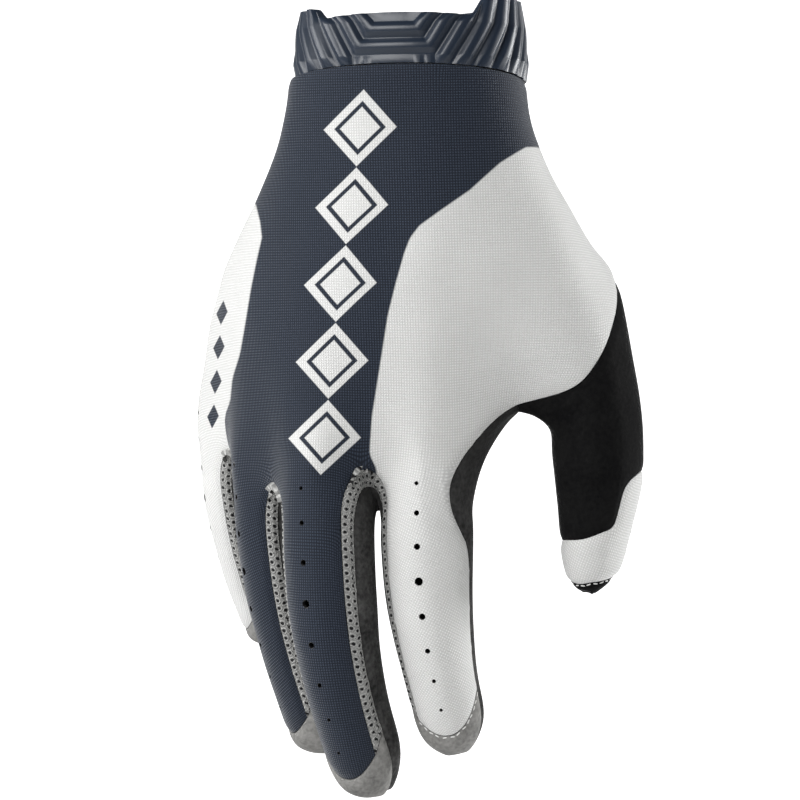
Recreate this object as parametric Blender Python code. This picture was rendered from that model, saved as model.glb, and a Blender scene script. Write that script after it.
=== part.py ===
# Motocross glove for the right hand, shaped as worn, with its fingers hanging down.
# The wrist opening is at the top, the back of the hand faces -Y, the thumb is on +X.
# The origin is the middle of the wrist opening. All lengths are in metres.
import math

import bmesh
import bpy
from mathutils import Vector

# Walls and seams
KNIT_WALL = 0.0014
SUEDE_WALL = 0.0016
MESH_WALL = 0.0012
SEAM_GAP = 0.0003

# Wrist and moulded cuff
WRIST_BREADTH = 0.0590
WRIST_DEPTH = 0.0450
WRIST_TURN = 23.0
CUFF_HEIGHT = 0.0150
CUFF_SIDE_RISE = 0.0034
CUFF_OUTER_RISE = 0.0008
CUFF_BACK_DIP = 0.0012
CUFF_BACK_ARCH = 0.0010
CUFF_SIDE_DROP = 0.0052
CUFF_SEAM_RISE = 0.0006
CUFF_WALL = 0.0022
CUFF_FLARE = 0.0012
RIB_HEIGHT = 0.0011
RIB_FOOT_ROOM = 0.0022
RIB_PITCH = 0.0056
RIB_LEAN = 0.62
CHEVRON_HALF_WIDTH = 0.0052
CHEVRON_DROP = 0.0044
CUFF_DIP_SPAN = 50.0

# Hand, from the wrist opening down
PALM_LENGTH = 0.1165
PALM_THICKNESS = 0.0350
KNUCKLE_RISE = 0.0010
WEB_SLOPE = 0.0115
THUMB_WEB_DROP = 0.1010
WEB_ROW_RISE = 0.0170
THUMB_SEAM_TOP = 0.0665

# Fingers
FINGER_WIDTH = 0.0240
FINGER_GAP = 0.0014
LITTLE_LENGTH = 0.0700
RING_LENGTH = 0.0860
MIDDLE_LENGTH = 0.0900
INDEX_LENGTH = 0.0770
THUMB_LENGTH = 0.0750
TIP_DOME = 0.0110
LITTLE_FORK_SINK = 0.0080
RING_FORK_SINK = 0.0070

# Perforations down the back of each finger
HOLE_DIAMETER = 0.0023
HOLE_SIDES = 8

# Each finger: width and depth as shares of FINGER_WIDTH, tip width as a share of its base width,
# facing is the way its back looks in degrees from -Y towards the thumb,
# lean is how far it tips from hanging straight at its base and at its tip, heading is where it tips to,
# taper is where its tapering starts and ends as shares of its length,
# step is the direction in degrees of the line from the finger before it, rise its base above the
# level of PALM_LENGTH.
DIGITS = {
    "little": dict(length=LITTLE_LENGTH, width=0.90, depth=0.87, tip=0.80, facing=-47.0,
                   lean=(6.0, 28.0), heading=89.0, step=None, rise=0.0210, taper=(0.30, 0.85)),
    "ring": dict(length=RING_LENGTH, width=0.94, depth=0.95, tip=0.84, facing=-33.0,
                 lean=(6.0, 29.0), heading=86.0, step=-28.0, rise=0.0075, taper=(0.30, 0.85)),
    "middle": dict(length=MIDDLE_LENGTH, width=1.02, depth=1.0, tip=0.82, facing=0.0,
                   lean=(2.0, 30.0), heading=90.0, step=-19.0, rise=0.0, taper=(0.30, 0.85)),
    "index": dict(length=INDEX_LENGTH, width=1.0, depth=1.0, tip=0.77, facing=23.0,
                  lean=(0.5, 22.0), heading=84.0, step=35.0, rise=0.0, taper=(0.30, 0.85)),
    "thumb": dict(length=THUMB_LENGTH, width=1.06, depth=1.03, tip=0.63, facing=122.0,
                  lean=(11.0, -8.5), heading=50.0, step=None, rise=0.0410, taper=(0.48, 0.98)),
}
FINGERS = ("little", "ring", "middle", "index")
MIDDLE_BASE = (-0.0210, -0.0080)
THUMB_BASE = (0.0310, 0.0310)

# Sixteen columns run down each finger. Column 0 is the middle of its back, 8 the middle of its front.
# The turn of each column in degrees, on the way down and at the tip.
COLUMN_TURNS = (0.0, 26.0, 52.0, 60.0, 68.0, 90.0, 112.0, 146.0, 180.0)
TIP_TURNS = (0.0, 28.0, 57.0, 69.0, 82.0, 100.0, 120.0, 148.0, 180.0)
FORK = 2
SIDE = 4
CREASE = 6
SIDES = 16

# Columns spread towards the sides from a share of a finger's length, over a span of it.
SPREAD_START = 0.45
SPREAD_SPAN = 0.50
# The outer seam of the index and little fingers, in degrees.
OUTER_SEAM_TURN = 84.0
# The index side patch: shares of the finger's length, with the turn of its seam there.
PATCH_EDGE = ((-0.24, 84.0), (-0.12, 44.0), (0.0, 41.0), (0.20, 43.0), (0.25, 84.0))

# Where each seam column stands around the palm, in degrees from the middle of the back.
PALM_TURNS = {"outer": -73.0, "little": -44.0, "ring": -21.0, "middle": 0.0, "index": 17.0, "web": 24.7}

# Palm sections: drop below the wrist opening as a share of PALM_LENGTH, centre across and back as
# shares of the wrist breadth, half breadth as a share of the wrist breadth, half depth as a share of
# PALM_THICKNESS, turn in degrees, and cup, the angle through which the section bends round the palm.
PALM_SECTIONS = (
    dict(drop=0.12, across=-0.012, back=-0.01, breadth=0.525, depth=0.660, turn=23.0, cup=0.0),
    dict(drop=0.25, across=-0.005, back=-0.01, breadth=0.530, depth=0.610, turn=21.0, cup=12.0),
    dict(drop=0.36, across=-0.02, back=-0.02, breadth=0.635, depth=0.560, turn=17.0, cup=32.0),
    dict(drop=0.47, across=-0.04, back=-0.03, breadth=0.765, depth=0.530, turn=13.0, cup=50.0),
    dict(drop=0.64, across=-0.10, back=-0.04, breadth=1.000, depth=0.490, turn=8.0, cup=72.0),
    dict(drop=0.86, across=-0.175, back=-0.03, breadth=1.130, depth=0.450, turn=5.0, cup=80.0),
    dict(drop=1.10, across=-0.19, back=-0.03, breadth=1.150, depth=0.440, turn=4.0, cup=80.0),
)
PALM_ROWS = 7
# How much each palm row already follows the fingers and the thumb below it.
FINGER_PULL = (0.0, 0.0, 0.0, 0.03, 0.12, 0.28, 0.50, 0.72)
THUMB_PULL = (0.0, 0.0, 0.0, 0.08, 0.25, 0.50, 0.78, 1.0)

# Rows down a finger as shares of the way from its fork to the seam of its cap.
FINGER_ROWS = (0.11, 0.22, 0.29, 0.45, 0.63, 0.82, 1.0)
CAP_CENTRE = 0.860
CAP_RISE = 0.30
CAP_FLOOR = 0.735
CAP_TURN_SHARE = 0.8
TIP_ROWS = (0.5, 1.0)
TIP_RING = 0.955

# Perforation centres as shares of the finger's length, and diameters as shares of HOLE_DIAMETER.
HOLES = ((0.07, 0.50), (0.17, 0.64), (0.28, 0.75), (0.39, 1.0),
         (0.50, 0.78), (0.61, 0.62), (0.71, 0.48), (0.81, 0.40))
THUMB_HOLES = ((0.57, 0.48), (0.64, 0.60), (0.71, 0.70), (0.78, 0.60), (0.85, 0.48))

COLOURS = {
    "navy_knit": ((0.022, 0.030, 0.052, 1.0), 0.85),
    "dark_suede": ((0.012, 0.012, 0.013, 1.0), 0.95),
    "grey_suede": ((0.36, 0.355, 0.34, 1.0), 0.92),
    "white_knit": ((0.72, 0.72, 0.72, 1.0), 0.85),
    "grey_mesh": ((0.30, 0.30, 0.29, 1.0), 0.85),
    "navy_rubber": ((0.045, 0.060, 0.090, 1.0), 0.45),
}


def clear_scene():
    for item in list(bpy.data.objects):
        bpy.data.objects.remove(item, do_unlink=True)


def mix(first, second, share):
    return first + (second - first) * share


def ease(share):
    share = min(1.0, max(0.0, share))
    return share * share * (3.0 - 2.0 * share)


def make_material(name):
    colour, roughness = COLOURS[name]
    material = bpy.data.materials.new(name)
    material.use_nodes = True
    shader = material.node_tree.nodes["Principled BSDF"]
    shader.inputs["Base Color"].default_value = colour
    shader.inputs["Roughness"].default_value = roughness
    shader.inputs["Metallic"].default_value = 0.0
    material.diffuse_color = colour
    return material


# Fingers and thumb: a bent, tapering tube with a domed tip

AXIS_STEPS = 48
BEND_START = 0.15
BEND_END = 0.95


def heading_vector(degrees):
    return Vector((math.cos(math.radians(degrees)), math.sin(math.radians(degrees)), 0.0))


def facing_vector(degrees):
    return Vector((math.sin(math.radians(degrees)), -math.cos(math.radians(degrees)), 0.0))


def lean_direction(digit, share):
    start, end = digit["lean"]
    lean = math.radians(mix(start, end, ease((share - BEND_START) / (BEND_END - BEND_START))))
    return heading_vector(digit["heading"]) * math.sin(lean) - Vector((0.0, 0.0, math.cos(lean)))


def make_digits():
    """Each finger with its base and the points of its axis."""
    digits = {name: dict(row) for name, row in DIGITS.items()}
    bases = {"middle": Vector(MIDDLE_BASE).to_3d(), "thumb": Vector(THUMB_BASE).to_3d()}

    def pitch(left, right):
        half_widths = 0.5 * FINGER_WIDTH * (DIGITS[left]["width"] + DIGITS[right]["width"])
        return half_widths + FINGER_GAP

    bases["index"] = bases["middle"] + heading_vector(DIGITS["index"]["step"]) * pitch("middle", "index")
    bases["ring"] = bases["middle"] - heading_vector(DIGITS["middle"]["step"]) * pitch("ring", "middle")
    bases["little"] = bases["ring"] - heading_vector(DIGITS["ring"]["step"]) * pitch("little", "ring")
    for name, digit in digits.items():
        base = bases[name]
        base.z = -PALM_LENGTH + digit["rise"]
        step = digit["length"] / AXIS_STEPS
        axis = [base]
        for count in range(AXIS_STEPS):
            axis.append(axis[-1] + lean_direction(digit, (count + 0.5) / AXIS_STEPS) * step)
        digit["axis"] = axis
        digit["straight"] = digit["length"] - TIP_DOME
        radius = 0.5 * FINGER_WIDTH * digit["width"] * digit["tip"]
        digit["dome_arc"] = 0.5 * math.pi * math.sqrt(0.5 * (radius ** 2 + TIP_DOME ** 2))
        digit["reach"] = digit["straight"] + digit["dome_arc"]
    return digits


def axis_point(digit, along):
    """A point of the axis, also above the finger's base."""
    share = along / digit["length"]
    if share <= 0.0:
        return digit["axis"][0] + lean_direction(digit, 0.0) * along
    place = min(share, 1.0) * AXIS_STEPS
    low = min(int(place), AXIS_STEPS - 1)
    return digit["axis"][low].lerp(digit["axis"][low + 1], place - low)


def column_turn(index, share):
    """The turn of a column in degrees. Columns spread towards the sides near the tip."""
    size = abs(index)
    turn = mix(COLUMN_TURNS[size], TIP_TURNS[size], ease((share - SPREAD_START) / SPREAD_SPAN))
    return math.copysign(turn, index)


DOME_BLUNTNESS = 0.78


def skin(digit, reach, turn):
    """A point on the outside, reach metres down its length and over the dome, turn degrees round."""
    along = reach
    narrow = 1.0
    if reach > digit["straight"]:
        swing = 0.5 * math.pi * min(1.0, (reach - digit["straight"]) / digit["dome_arc"])
        along = digit["straight"] + TIP_DOME * math.sin(swing)
        narrow = max(0.0, math.cos(swing)) ** DOME_BLUNTNESS
    share = along / digit["length"]
    taper = mix(1.0, digit["tip"], ease((share - digit["taper"][0]) / (digit["taper"][1] - digit["taper"][0])))
    down = lean_direction(digit, min(1.0, max(0.0, share)))
    front = facing_vector(digit["facing"])
    front = (front - down * front.dot(down)).normalized()
    side = down.cross(front) * -1.0
    angle = math.radians(turn)
    across = 0.5 * FINGER_WIDTH * digit["width"] * taper * narrow * math.sin(angle)
    ahead = 0.5 * FINGER_WIDTH * digit["depth"] * taper * narrow * math.cos(angle)
    return axis_point(digit, along) + side * across + front * ahead


def patch_turn(share):
    """The turn of the seam round the index finger's side patch."""
    if share <= PATCH_EDGE[0][0]:
        return PATCH_EDGE[0][1]
    for (low, first), (high, second) in zip(PATCH_EDGE, PATCH_EDGE[1:]):
        if share <= high:
            return mix(first, second, (share - low) / (high - low))
    return TIP_TURNS[SIDE] + OUTER_SEAM_TURN


def side_bulge_turn(digit_name, index, share):
    """The turn of a column, with the index finger's outer columns drawn in round its side patch."""
    turn = column_turn(index, share)
    outer = (digit_name == "index" and index > 0) or (digit_name == "little" and index < 0)
    if not outer or abs(index) > SIDE:
        return turn
    edge = mix(OUTER_SEAM_TURN, TIP_TURNS[SIDE], ease((share - SPREAD_START) / SPREAD_SPAN))
    if digit_name == "index":
        edge = min(edge, patch_turn(share))
    return math.copysign(edge * abs(index) / SIDE, index)


# Palm: bent elliptical sections that flow into the fingers and the thumb

def palm_section(drop):
    """The palm section at a drop below the wrist opening, between the two rows of the table."""
    share = drop / PALM_LENGTH
    low = PALM_SECTIONS[0]
    if share <= low["drop"]:
        return low
    for high in PALM_SECTIONS[1:]:
        if share <= high["drop"]:
            part = (share - low["drop"]) / (high["drop"] - low["drop"])
            return {key: mix(low[key], high[key], part) for key in low}
        low = high
    return low


PALM_SQUARENESS = 0.80


def palm_point(drop, turn):
    section = palm_section(drop)
    angle = math.radians(turn)
    half = section["breadth"] * WRIST_BREADTH
    run = half * math.sin(angle)
    cosine = math.cos(angle)
    height = section["depth"] * PALM_THICKNESS * math.copysign(abs(cosine) ** PALM_SQUARENESS, cosine)
    facing = math.radians(section["turn"])
    bend = math.radians(section["cup"]) / (2.0 * half)
    local_turn = facing + bend * run
    if bend > 1e-6:
        across = (math.sin(local_turn) - math.sin(facing)) / bend
        back = (math.cos(facing) - math.cos(local_turn)) / bend
    else:
        across = run * math.cos(facing)
        back = run * math.sin(facing)
    centre = Vector((section["across"] * WRIST_BREADTH, section["back"] * WRIST_BREADTH, -drop))
    outward = Vector((math.sin(local_turn), -math.cos(local_turn), 0.0))
    return centre + Vector((across, back, 0.0)) + outward * height


def cuff_seam_drop(turn):
    """The drop of the seam between the cuff and the hand, deepest on the palm side."""
    return CUFF_HEIGHT - CUFF_SEAM_RISE + CUFF_SIDE_DROP * math.sin(math.radians(0.5 * turn)) ** 2


def palm_order():
    """Columns round the palm from the outer side over the back to the thumb and back over the palm."""
    order = [("little", index) for index in range(-CREASE, FORK + 1)]
    for name in FINGERS[1:]:
        order += [(name, index) for index in range(-FORK + 1, FORK + 1)]
    order += [("index", index) for index in range(FORK + 1, SIDE + 1)]
    order += [("thumb", index) for index in range(-CREASE, CREASE + 1)]
    order += [("index", CREASE)]
    for name in reversed(FINGERS):
        order += [(name, index) for index in (7, 8, -7, -CREASE)]
    return order[:-1]


def hand_order():
    """Columns round the hand below the thumb."""
    order = palm_order()
    first = order.index(("thumb", -CREASE))
    last = order.index(("thumb", CREASE))
    return order[:first] + [("index", 5)] + order[last + 1:]


def palm_turn(name, index):
    """Where a column stands around the palm in degrees."""
    if name == "thumb":
        web = PALM_TURNS["web"]
        return mix(web, 180.0 - web, (index + 7.0) / 14.0)
    order = ("outer",) + FINGERS[:-1] + ("index",)
    place = FINGERS.index(name)
    left = PALM_TURNS[order[place]]
    right = PALM_TURNS[order[place + 1]]
    if abs(index) <= FORK:
        return mix(left, right, (index + FORK) / (2.0 * FORK))
    if name == "index" and 0 < index <= SIDE:
        return mix(right, PALM_TURNS["web"], (index - FORK) / (SIDE - FORK))
    if name == "index" and index == CREASE:
        return 180.0 - PALM_TURNS["web"]
    if name == "little" and -CREASE < index < 0:
        return mix(left, -180.0 - left, (-index - FORK) / (CREASE - FORK))
    if name == "index":
        right = PALM_TURNS["web"]
    wrapped = index if index > 0 else index + SIDES
    return mix(180.0 - right, 180.0 - left, (wrapped - CREASE) / (SIDES - 2.0 * CREASE))


class Cage:
    """Points by name, and faces with the panel that each belongs to."""

    def __init__(self):
        self.points = {}
        self.faces = []

    def band(self, upper, lower, panels):
        count = len(panels)
        for column in range(count):
            after = (column + 1) % len(upper)
            corners = [upper[column], lower[column], lower[after], upper[after]]
            self.faces.append((panels[column], corners))


def neighbour(name, side):
    place = FINGERS.index(name) + side
    return FINGERS[place] if 0 <= place < len(FINGERS) else None


def fork_key(name, index):
    """The name of a point of the fork row, shared by two fingers where they meet."""
    if name in FINGERS and -CREASE <= index <= -FORK and neighbour(name, -1):
        return ("fork", neighbour(name, -1), -index)
    return ("fork", name, index)


# How far the edge of the web has dropped at each column past the fork, as a share of WEB_SLOPE.
FORK_SLOPES = {3: 0.20, 4: 0.42, 5: 0.76, 6: 1.0, 7: 1.0, 8: 1.0}
# How far the forks beside the ring finger lie below the others, and how much of it is left over the palm.
FORK_SINKS = {"little": LITTLE_FORK_SINK, "ring": RING_FORK_SINK, "middle": 0.0}
PALM_SINK_SHARE = 0.4


def fork_reach(digits, name, index):
    """How far down its finger a point of the fork row lies."""
    own = digits[name]["axis"][0].z

    def fork_height(side):
        other = neighbour(name, side)
        return own if other is None else 0.5 * (own + digits[other]["axis"][0].z)

    slope = FORK_SLOPES.get(abs(index), 0.0)
    sink = mix(1.0, PALM_SINK_SHARE, slope)
    left = own - fork_height(-1) - KNUCKLE_RISE + sink * FORK_SINKS.get(neighbour(name, -1), 0.0)
    right = own - fork_height(1) - KNUCKLE_RISE + sink * (FORK_SINKS[name] if neighbour(name, 1) else 0.0)
    if abs(index) <= FORK:
        return mix(left, right, (index + FORK) / (2.0 * FORK))
    if abs(index) > CREASE:
        wrapped = index if index > 0 else index + SIDES
        return mix(right, left, (wrapped - CREASE) / (SIDES - 2.0 * CREASE)) + WEB_SLOPE
    return (right if index > 0 else left) + slope * WEB_SLOPE


# The turn at which the upper seam of the thumb is highest, and how blunt its top is.
THUMB_SEAM_TURN = 40.0
THUMB_SEAM_BLUNTNESS = 0.85


def thumb_seam_reach(digits, index):
    """The slanting upper seam of the thumb, lowest at the web and highest on its outer side."""
    base = -digits["thumb"]["axis"][0].z
    turn = COLUMN_TURNS[abs(index)] * (1.0 if index > 0 else -1.0)
    slant = (math.sin(math.radians(0.5 * (turn - THUMB_SEAM_TURN))) ** 2) ** THUMB_SEAM_BLUNTNESS
    return mix(THUMB_SEAM_TOP, THUMB_WEB_DROP, slant) - base


# The web's edge: turn of its back end on the index finger, share of the way to the thumb, and pull
# of the palm's rows towards it.
WEB_EDGE_TURN = 12.0
WEB_SHARE = 0.58
WEB_PULL = 0.8


def web_point(digits, index):
    """The three points across the edge of the web, between the index finger and the thumb."""
    thumb_index = {SIDE: -7, 5: 8, CREASE: 7}[index]
    index_digit = digits["index"]
    drop = THUMB_WEB_DROP + index_digit["axis"][0].z
    finger_point = skin(index_digit, drop, COLUMN_TURNS[index] + (WEB_EDGE_TURN if index == SIDE else 0.0))
    thumb_reach = THUMB_WEB_DROP + digits["thumb"]["axis"][0].z
    thumb_turn = math.copysign(COLUMN_TURNS[abs(thumb_index)], thumb_index)
    thumb_point = skin(digits["thumb"], thumb_reach, thumb_turn)
    return finger_point.lerp(thumb_point, WEB_SHARE)


def column_drop(digits, name, index):
    """The drop of the web row on each column of the palm."""
    if name == "thumb":
        return -skin(digits["thumb"], thumb_seam_reach(digits, index), COLUMN_TURNS[abs(index)]).z
    base = -digits[name]["axis"][0].z
    back = base - WEB_ROW_RISE
    if name == "index" and 0 < index <= CREASE:
        return mix(back, THUMB_WEB_DROP, ease((index - 1.0) / 3.0))
    if abs(index) > SIDE:
        return back + 0.5 * WEB_SLOPE
    return back


def follow_point(digits, name, index, drop):
    """The point of a finger's own surface at a drop, shared between neighbours at a fork column."""
    digit = digits[name]
    own = skin(digit, drop + digit["axis"][0].z, math.copysign(COLUMN_TURNS[abs(index)], index))
    side = 1 if index > 0 else -1
    if abs(index) in (FORK, CREASE) and name in FINGERS and neighbour(name, side):
        other = digits[neighbour(name, side)]
        other_turn = -math.copysign(COLUMN_TURNS[abs(index)], index)
        own = 0.5 * (own + skin(other, drop + other["axis"][0].z, other_turn))
    own.z = -drop
    return own


def build_palm(cage, digits):
    order = palm_order()
    for row in range(PALM_ROWS + 1):
        for name, index in order:
            turn = palm_turn(name, index)
            seam = cuff_seam_drop(turn) + SEAM_GAP
            drop = mix(seam, column_drop(digits, name, index), row / PALM_ROWS)
            pull = (THUMB_PULL if name == "thumb" else FINGER_PULL)[row]
            point = palm_point(drop, turn).lerp(follow_point(digits, name, index, drop), pull)
            cage.points[("palm", row, name, index)] = point
    for index in (SIDE, 5, CREASE):
        cage.points[("palm", PALM_ROWS, "index", index)] = web_point(digits, index)
    for row in range(3, PALM_ROWS):
        pull = THUMB_PULL[row] ** 2
        for index in (SIDE, CREASE):
            key = ("palm", row, "index", index)
            target = web_point(digits, index)
            target.z = cage.points[key].z
            cage.points[key] = cage.points[key].lerp(target, pull * WEB_PULL)

    first_knit = order.index(("little", -SIDE))
    last_knit = order.index(("thumb", 3))
    for row in range(PALM_ROWS):
        upper = [("palm", row, name, index) for name, index in order]
        lower = [("palm", row + 1, name, index) for name, index in order]
        panels = ["back_shell" if first_knit <= place < last_knit else "palm" for place in range(len(order))]
        cage.band(upper, lower, panels)


HAND_ROW_SHARE = 0.55
# How much the hand row follows the index finger's outer columns, round the top of its side patch.
PATCH_PULL = {1: 0.30, 2: 0.55, 3: 0.80, 4: 0.95}
PATCH_ROW_SHARE = 0.40


def build_forks(cage, digits):
    order = hand_order()
    for name in FINGERS:
        for index in range(-7, 9):
            key = fork_key(name, index)
            point = skin(digits[name], fork_reach(digits, name, index), side_bulge_turn(name, index, 0.0))
            if key in cage.points:
                point = 0.5 * (point + cage.points[key])
            cage.points[key] = point
    for name, index in order:
        upper = cage.points[("palm", PALM_ROWS, name, index)]
        lower = cage.points[fork_key(name, index)]
        point = upper.lerp(lower, HAND_ROW_SHARE)
        if name == "index" and index in PATCH_PULL:
            row_share = mix(HAND_ROW_SHARE, PATCH_ROW_SHARE, PATCH_PULL[index])
            point = upper.lerp(lower, row_share)
            digit = digits[name]
            reach = digit["axis"][0].z - point.z
            edge = skin(digit, reach, side_bulge_turn(name, index, reach / digit["length"]))
            point = point.lerp(edge, PATCH_PULL[index])
        cage.points[("hand", name, index)] = point
    first_knit = order.index(("little", -SIDE))
    last_knit = order.index(("index", SIDE))
    panels = ["back_shell" if first_knit <= place < last_knit else "palm" for place in range(len(order))]
    top = [("palm", PALM_ROWS, name, index) for name, index in order]
    middle = [("hand", name, index) for name, index in order]
    bottom = [fork_key(name, index) for name, index in order]
    cage.band(top, middle, panels)
    cage.band(middle, bottom, panels)


RING = tuple(range(-7, 9))


def cap_seam_share(turn):
    """The seam between the back of a finger and its cap, as a share of the finger's reach."""
    rise = CAP_RISE * math.sin(math.radians(0.5 * turn)) ** 2
    return max(CAP_CENTRE - rise, CAP_FLOOR)


def finger_panel(name, row, index):
    """The panel of the face between a column and the next, under a row."""
    low = min(index, index + 1, key=abs)
    size = abs(low)
    if index in (8, -8) or size >= SIDE:
        return "palm"
    if row >= len(FINGER_ROWS):
        return "tip_cap_" + name
    if size < FORK:
        return "back_shell"
    side = 1 if index > 0 else -1
    other = neighbour(name, side)
    if other is None:
        return "back_shell"
    pair = (name, other) if side > 0 else (other, name)
    return "fourchette_" + pair[0] + "_" + pair[1]


def add_tip(cage, name, digit, last_reach, panel_of):
    """Closes the last ring with a four by four grid over the end of the dome."""
    count = len(RING)

    def rim(index):
        return ("digit", name, "last", index)

    grid = {}
    for place in range(5):
        grid[place, 0] = rim(place - 2)
        grid[4, place] = rim(place + 2)
        grid[0, place] = rim(-place - 2)
        wrapped = 10 - place
        grid[place, 4] = rim(wrapped if wrapped <= 8 else wrapped - count)
    inner = {(1, 1): -2, (2, 1): 0, (3, 1): 2, (3, 2): 4, (3, 3): 6, (2, 3): 8, (1, 3): -6, (1, 2): -4}
    for place, index in inner.items():
        key = ("digit", name, "grid", place)
        turn = column_turn(index, 1.0)
        cage.points[key] = skin(digit, mix(digit["reach"], last_reach, 0.5), turn)
        grid[place] = key
    key = ("digit", name, "grid", (2, 2))
    cage.points[key] = skin(digit, digit["reach"], 0.0)
    grid[2, 2] = key
    for across in range(4):
        for down in range(4):
            corners = [grid[across, down], grid[across, down + 1],
                       grid[across + 1, down + 1], grid[across + 1, down]]
            cage.faces.append((panel_of(down), corners))


def build_digit(cage, name, digit, first_ring, first_reach, seams, panel_of, tip_panel):
    """Rings of sixteen points from the first ring through each seam to the tip."""
    last_reach = TIP_RING * digit["reach"]
    upper = first_ring
    start = first_reach
    row = 0
    for seam, shares in seams:
        goal = [seam(index) for index in RING]
        for share in shares:
            last = seam is seams[-1][0] and share == shares[-1]
            lower = []
            for place, index in enumerate(RING):
                reach = mix(start[place], goal[place], share)
                turn = side_bulge_turn(name, index, reach / digit["length"])
                key = ("digit", name, "last" if last else row, index)
                cage.points[key] = skin(digit, reach, turn)
                lower.append(key)
            panels = [panel_of(row, index) for index in RING]
            cage.band(upper, lower, panels)
            upper = lower
            row += 1
        start = goal
    add_tip(cage, name, digit, last_reach, tip_panel)


def build_fingers(cage, digits):
    for name in FINGERS:
        digit = digits[name]

        def cap_seam(index, digit=digit, name=name):
            return cap_seam_share(side_bulge_turn(name, index, CAP_TURN_SHARE)) * digit["reach"]

        def tip_ring(index, digit=digit):
            return TIP_RING * digit["reach"]

        def panel_of(row, index, name=name):
            return finger_panel(name, row, index)

        def tip_panel(down, name=name):
            return "tip_cap_" + name if down < 2 else "palm"

        first_ring = [fork_key(name, index) for index in RING]
        first_reach = [fork_reach(digits, name, index) for index in RING]
        seams = ((cap_seam, FINGER_ROWS), (tip_ring, TIP_ROWS))
        build_digit(cage, name, digit, first_ring, first_reach, seams, panel_of, tip_panel)


# The thumb: levels as shares of its reach, turns in degrees, and rows as shares of the way to each seam.
TONGUE_TOP = 0.545
TONGUE_EDGE = 0.60
KNIT_LEVEL = 0.725
CAP_LEVEL = 0.90
CAP_SLANT = 0.045
CAP_SLANT_TURN = 120.0
THUMB_TIP_RING = 0.972
TONGUE_TURN = 52.0
TONGUE_LIMIT = 1.6
KNIT_RISE = 0.065
KNIT_TURN_START = 30.0
KNIT_TURN_SPAN = 80.0
TONGUE_ROWS = (0.25, 0.5, 0.75, 1.0)
KNIT_ROWS = (0.5, 1.0)
THUMB_CAP_ROWS = (0.34, 0.68, 1.0)


def build_thumb(cage, digits):
    digit = digits["thumb"]
    reach = digit["reach"]

    def tongue(index):
        turn = COLUMN_TURNS[abs(index)]
        return mix(TONGUE_TOP, TONGUE_EDGE, min(TONGUE_LIMIT, (turn / TONGUE_TURN) ** 2)) * reach

    def knit_edge(index):
        turn = COLUMN_TURNS[abs(index)]
        return (KNIT_LEVEL + KNIT_RISE * ease((turn - KNIT_TURN_START) / KNIT_TURN_SPAN)) * reach

    def cap_edge(index):
        turn = math.radians(math.copysign(COLUMN_TURNS[abs(index)], index) + CAP_SLANT_TURN)
        return (CAP_LEVEL + CAP_SLANT * math.cos(turn)) * reach

    def tip_ring(index):
        return THUMB_TIP_RING * reach

    def panel_of(row, index):
        if row < 4:
            return "thumb_panel"
        if row < 6:
            return "thumb_tip" if -FORK <= index < FORK else "thumb_panel"
        if row < 9:
            return "thumb_tip"
        return "thumb_tip_cap"

    first_ring = [("palm", PALM_ROWS, "index", SIDE)]
    first_ring += [("palm", PALM_ROWS, "thumb", index) for index in range(-CREASE, CREASE + 1)]
    first_ring += [("palm", PALM_ROWS, "index", CREASE), ("palm", PALM_ROWS, "index", 5)]
    first_reach = [thumb_seam_reach(digits, index) for index in RING]
    seams = ((tongue, TONGUE_ROWS), (knit_edge, KNIT_ROWS),
             (cap_edge, THUMB_CAP_ROWS), (tip_ring, (1.0,)))
    build_digit(cage, "thumb", digit, first_ring, first_reach, seams, panel_of, lambda down: "thumb_tip_cap")


def build_cage(digits):
    cage = Cage()
    build_palm(cage, digits)
    build_forks(cage, digits)
    build_fingers(cage, digits)
    build_thumb(cage, digits)
    smooth_palm(cage)
    return cage


SMOOTH_ROUNDS = 8


def smooth_palm(cage):
    """Evens the palm rows between the cuff and the forks, and leaves the seams where they are."""
    around = {}
    for _, corners in cage.faces:
        for place, key in enumerate(corners):
            near = around.setdefault(key, [])
            near += [other for other in (corners[place - 1], corners[(place + 1) % len(corners)])
                     if other not in near]
    movable = [key for key in cage.points
               if (key[0] == "palm" and 0 < key[1] < PALM_ROWS) or key[0] == "hand"
               or (key[0] == "palm" and key[1] == PALM_ROWS and key[2] in FINGERS
                   and not (key[2] == "index" and key[3] in (SIDE, 5, CREASE)))]
    for _ in range(SMOOTH_ROUNDS):
        moved = {}
        for key in movable:
            near = around[key]
            middle = sum((cage.points[other] for other in near), Vector()) / len(near)
            moved[key] = cage.points[key].lerp(middle, 0.5)
        cage.points.update(moved)


# Panels: each is cut from the cage along its seams and given its wall

def face_normal(points):
    return (points[2] - points[0]).cross(points[3] - points[1])


def cage_normals(cage):
    normals = {key: Vector() for key in cage.points}
    for _, corners in cage.faces:
        normal = face_normal([cage.points[key] for key in corners])
        for key in corners:
            normals[key] += normal
    return {key: normal.normalized() for key, normal in normals.items()}


def edge_faces(faces):
    """The face on the left of each directed edge."""
    directed = {}
    for corners in faces:
        for place, key in enumerate(corners):
            directed[(key, corners[(place + 1) % len(corners)])] = corners
    return directed


def edge_pull(cage, start, end, corners):
    """The direction from an edge into one of its faces, square to the edge."""
    first = cage.points[start]
    along = (cage.points[end] - first).normalized()
    centre = sum((cage.points[key] for key in corners), Vector()) / len(corners)
    across = centre - first
    return (across - along * across.dot(along)).normalized()


SHARPEST_CORNER = 0.35


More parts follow.
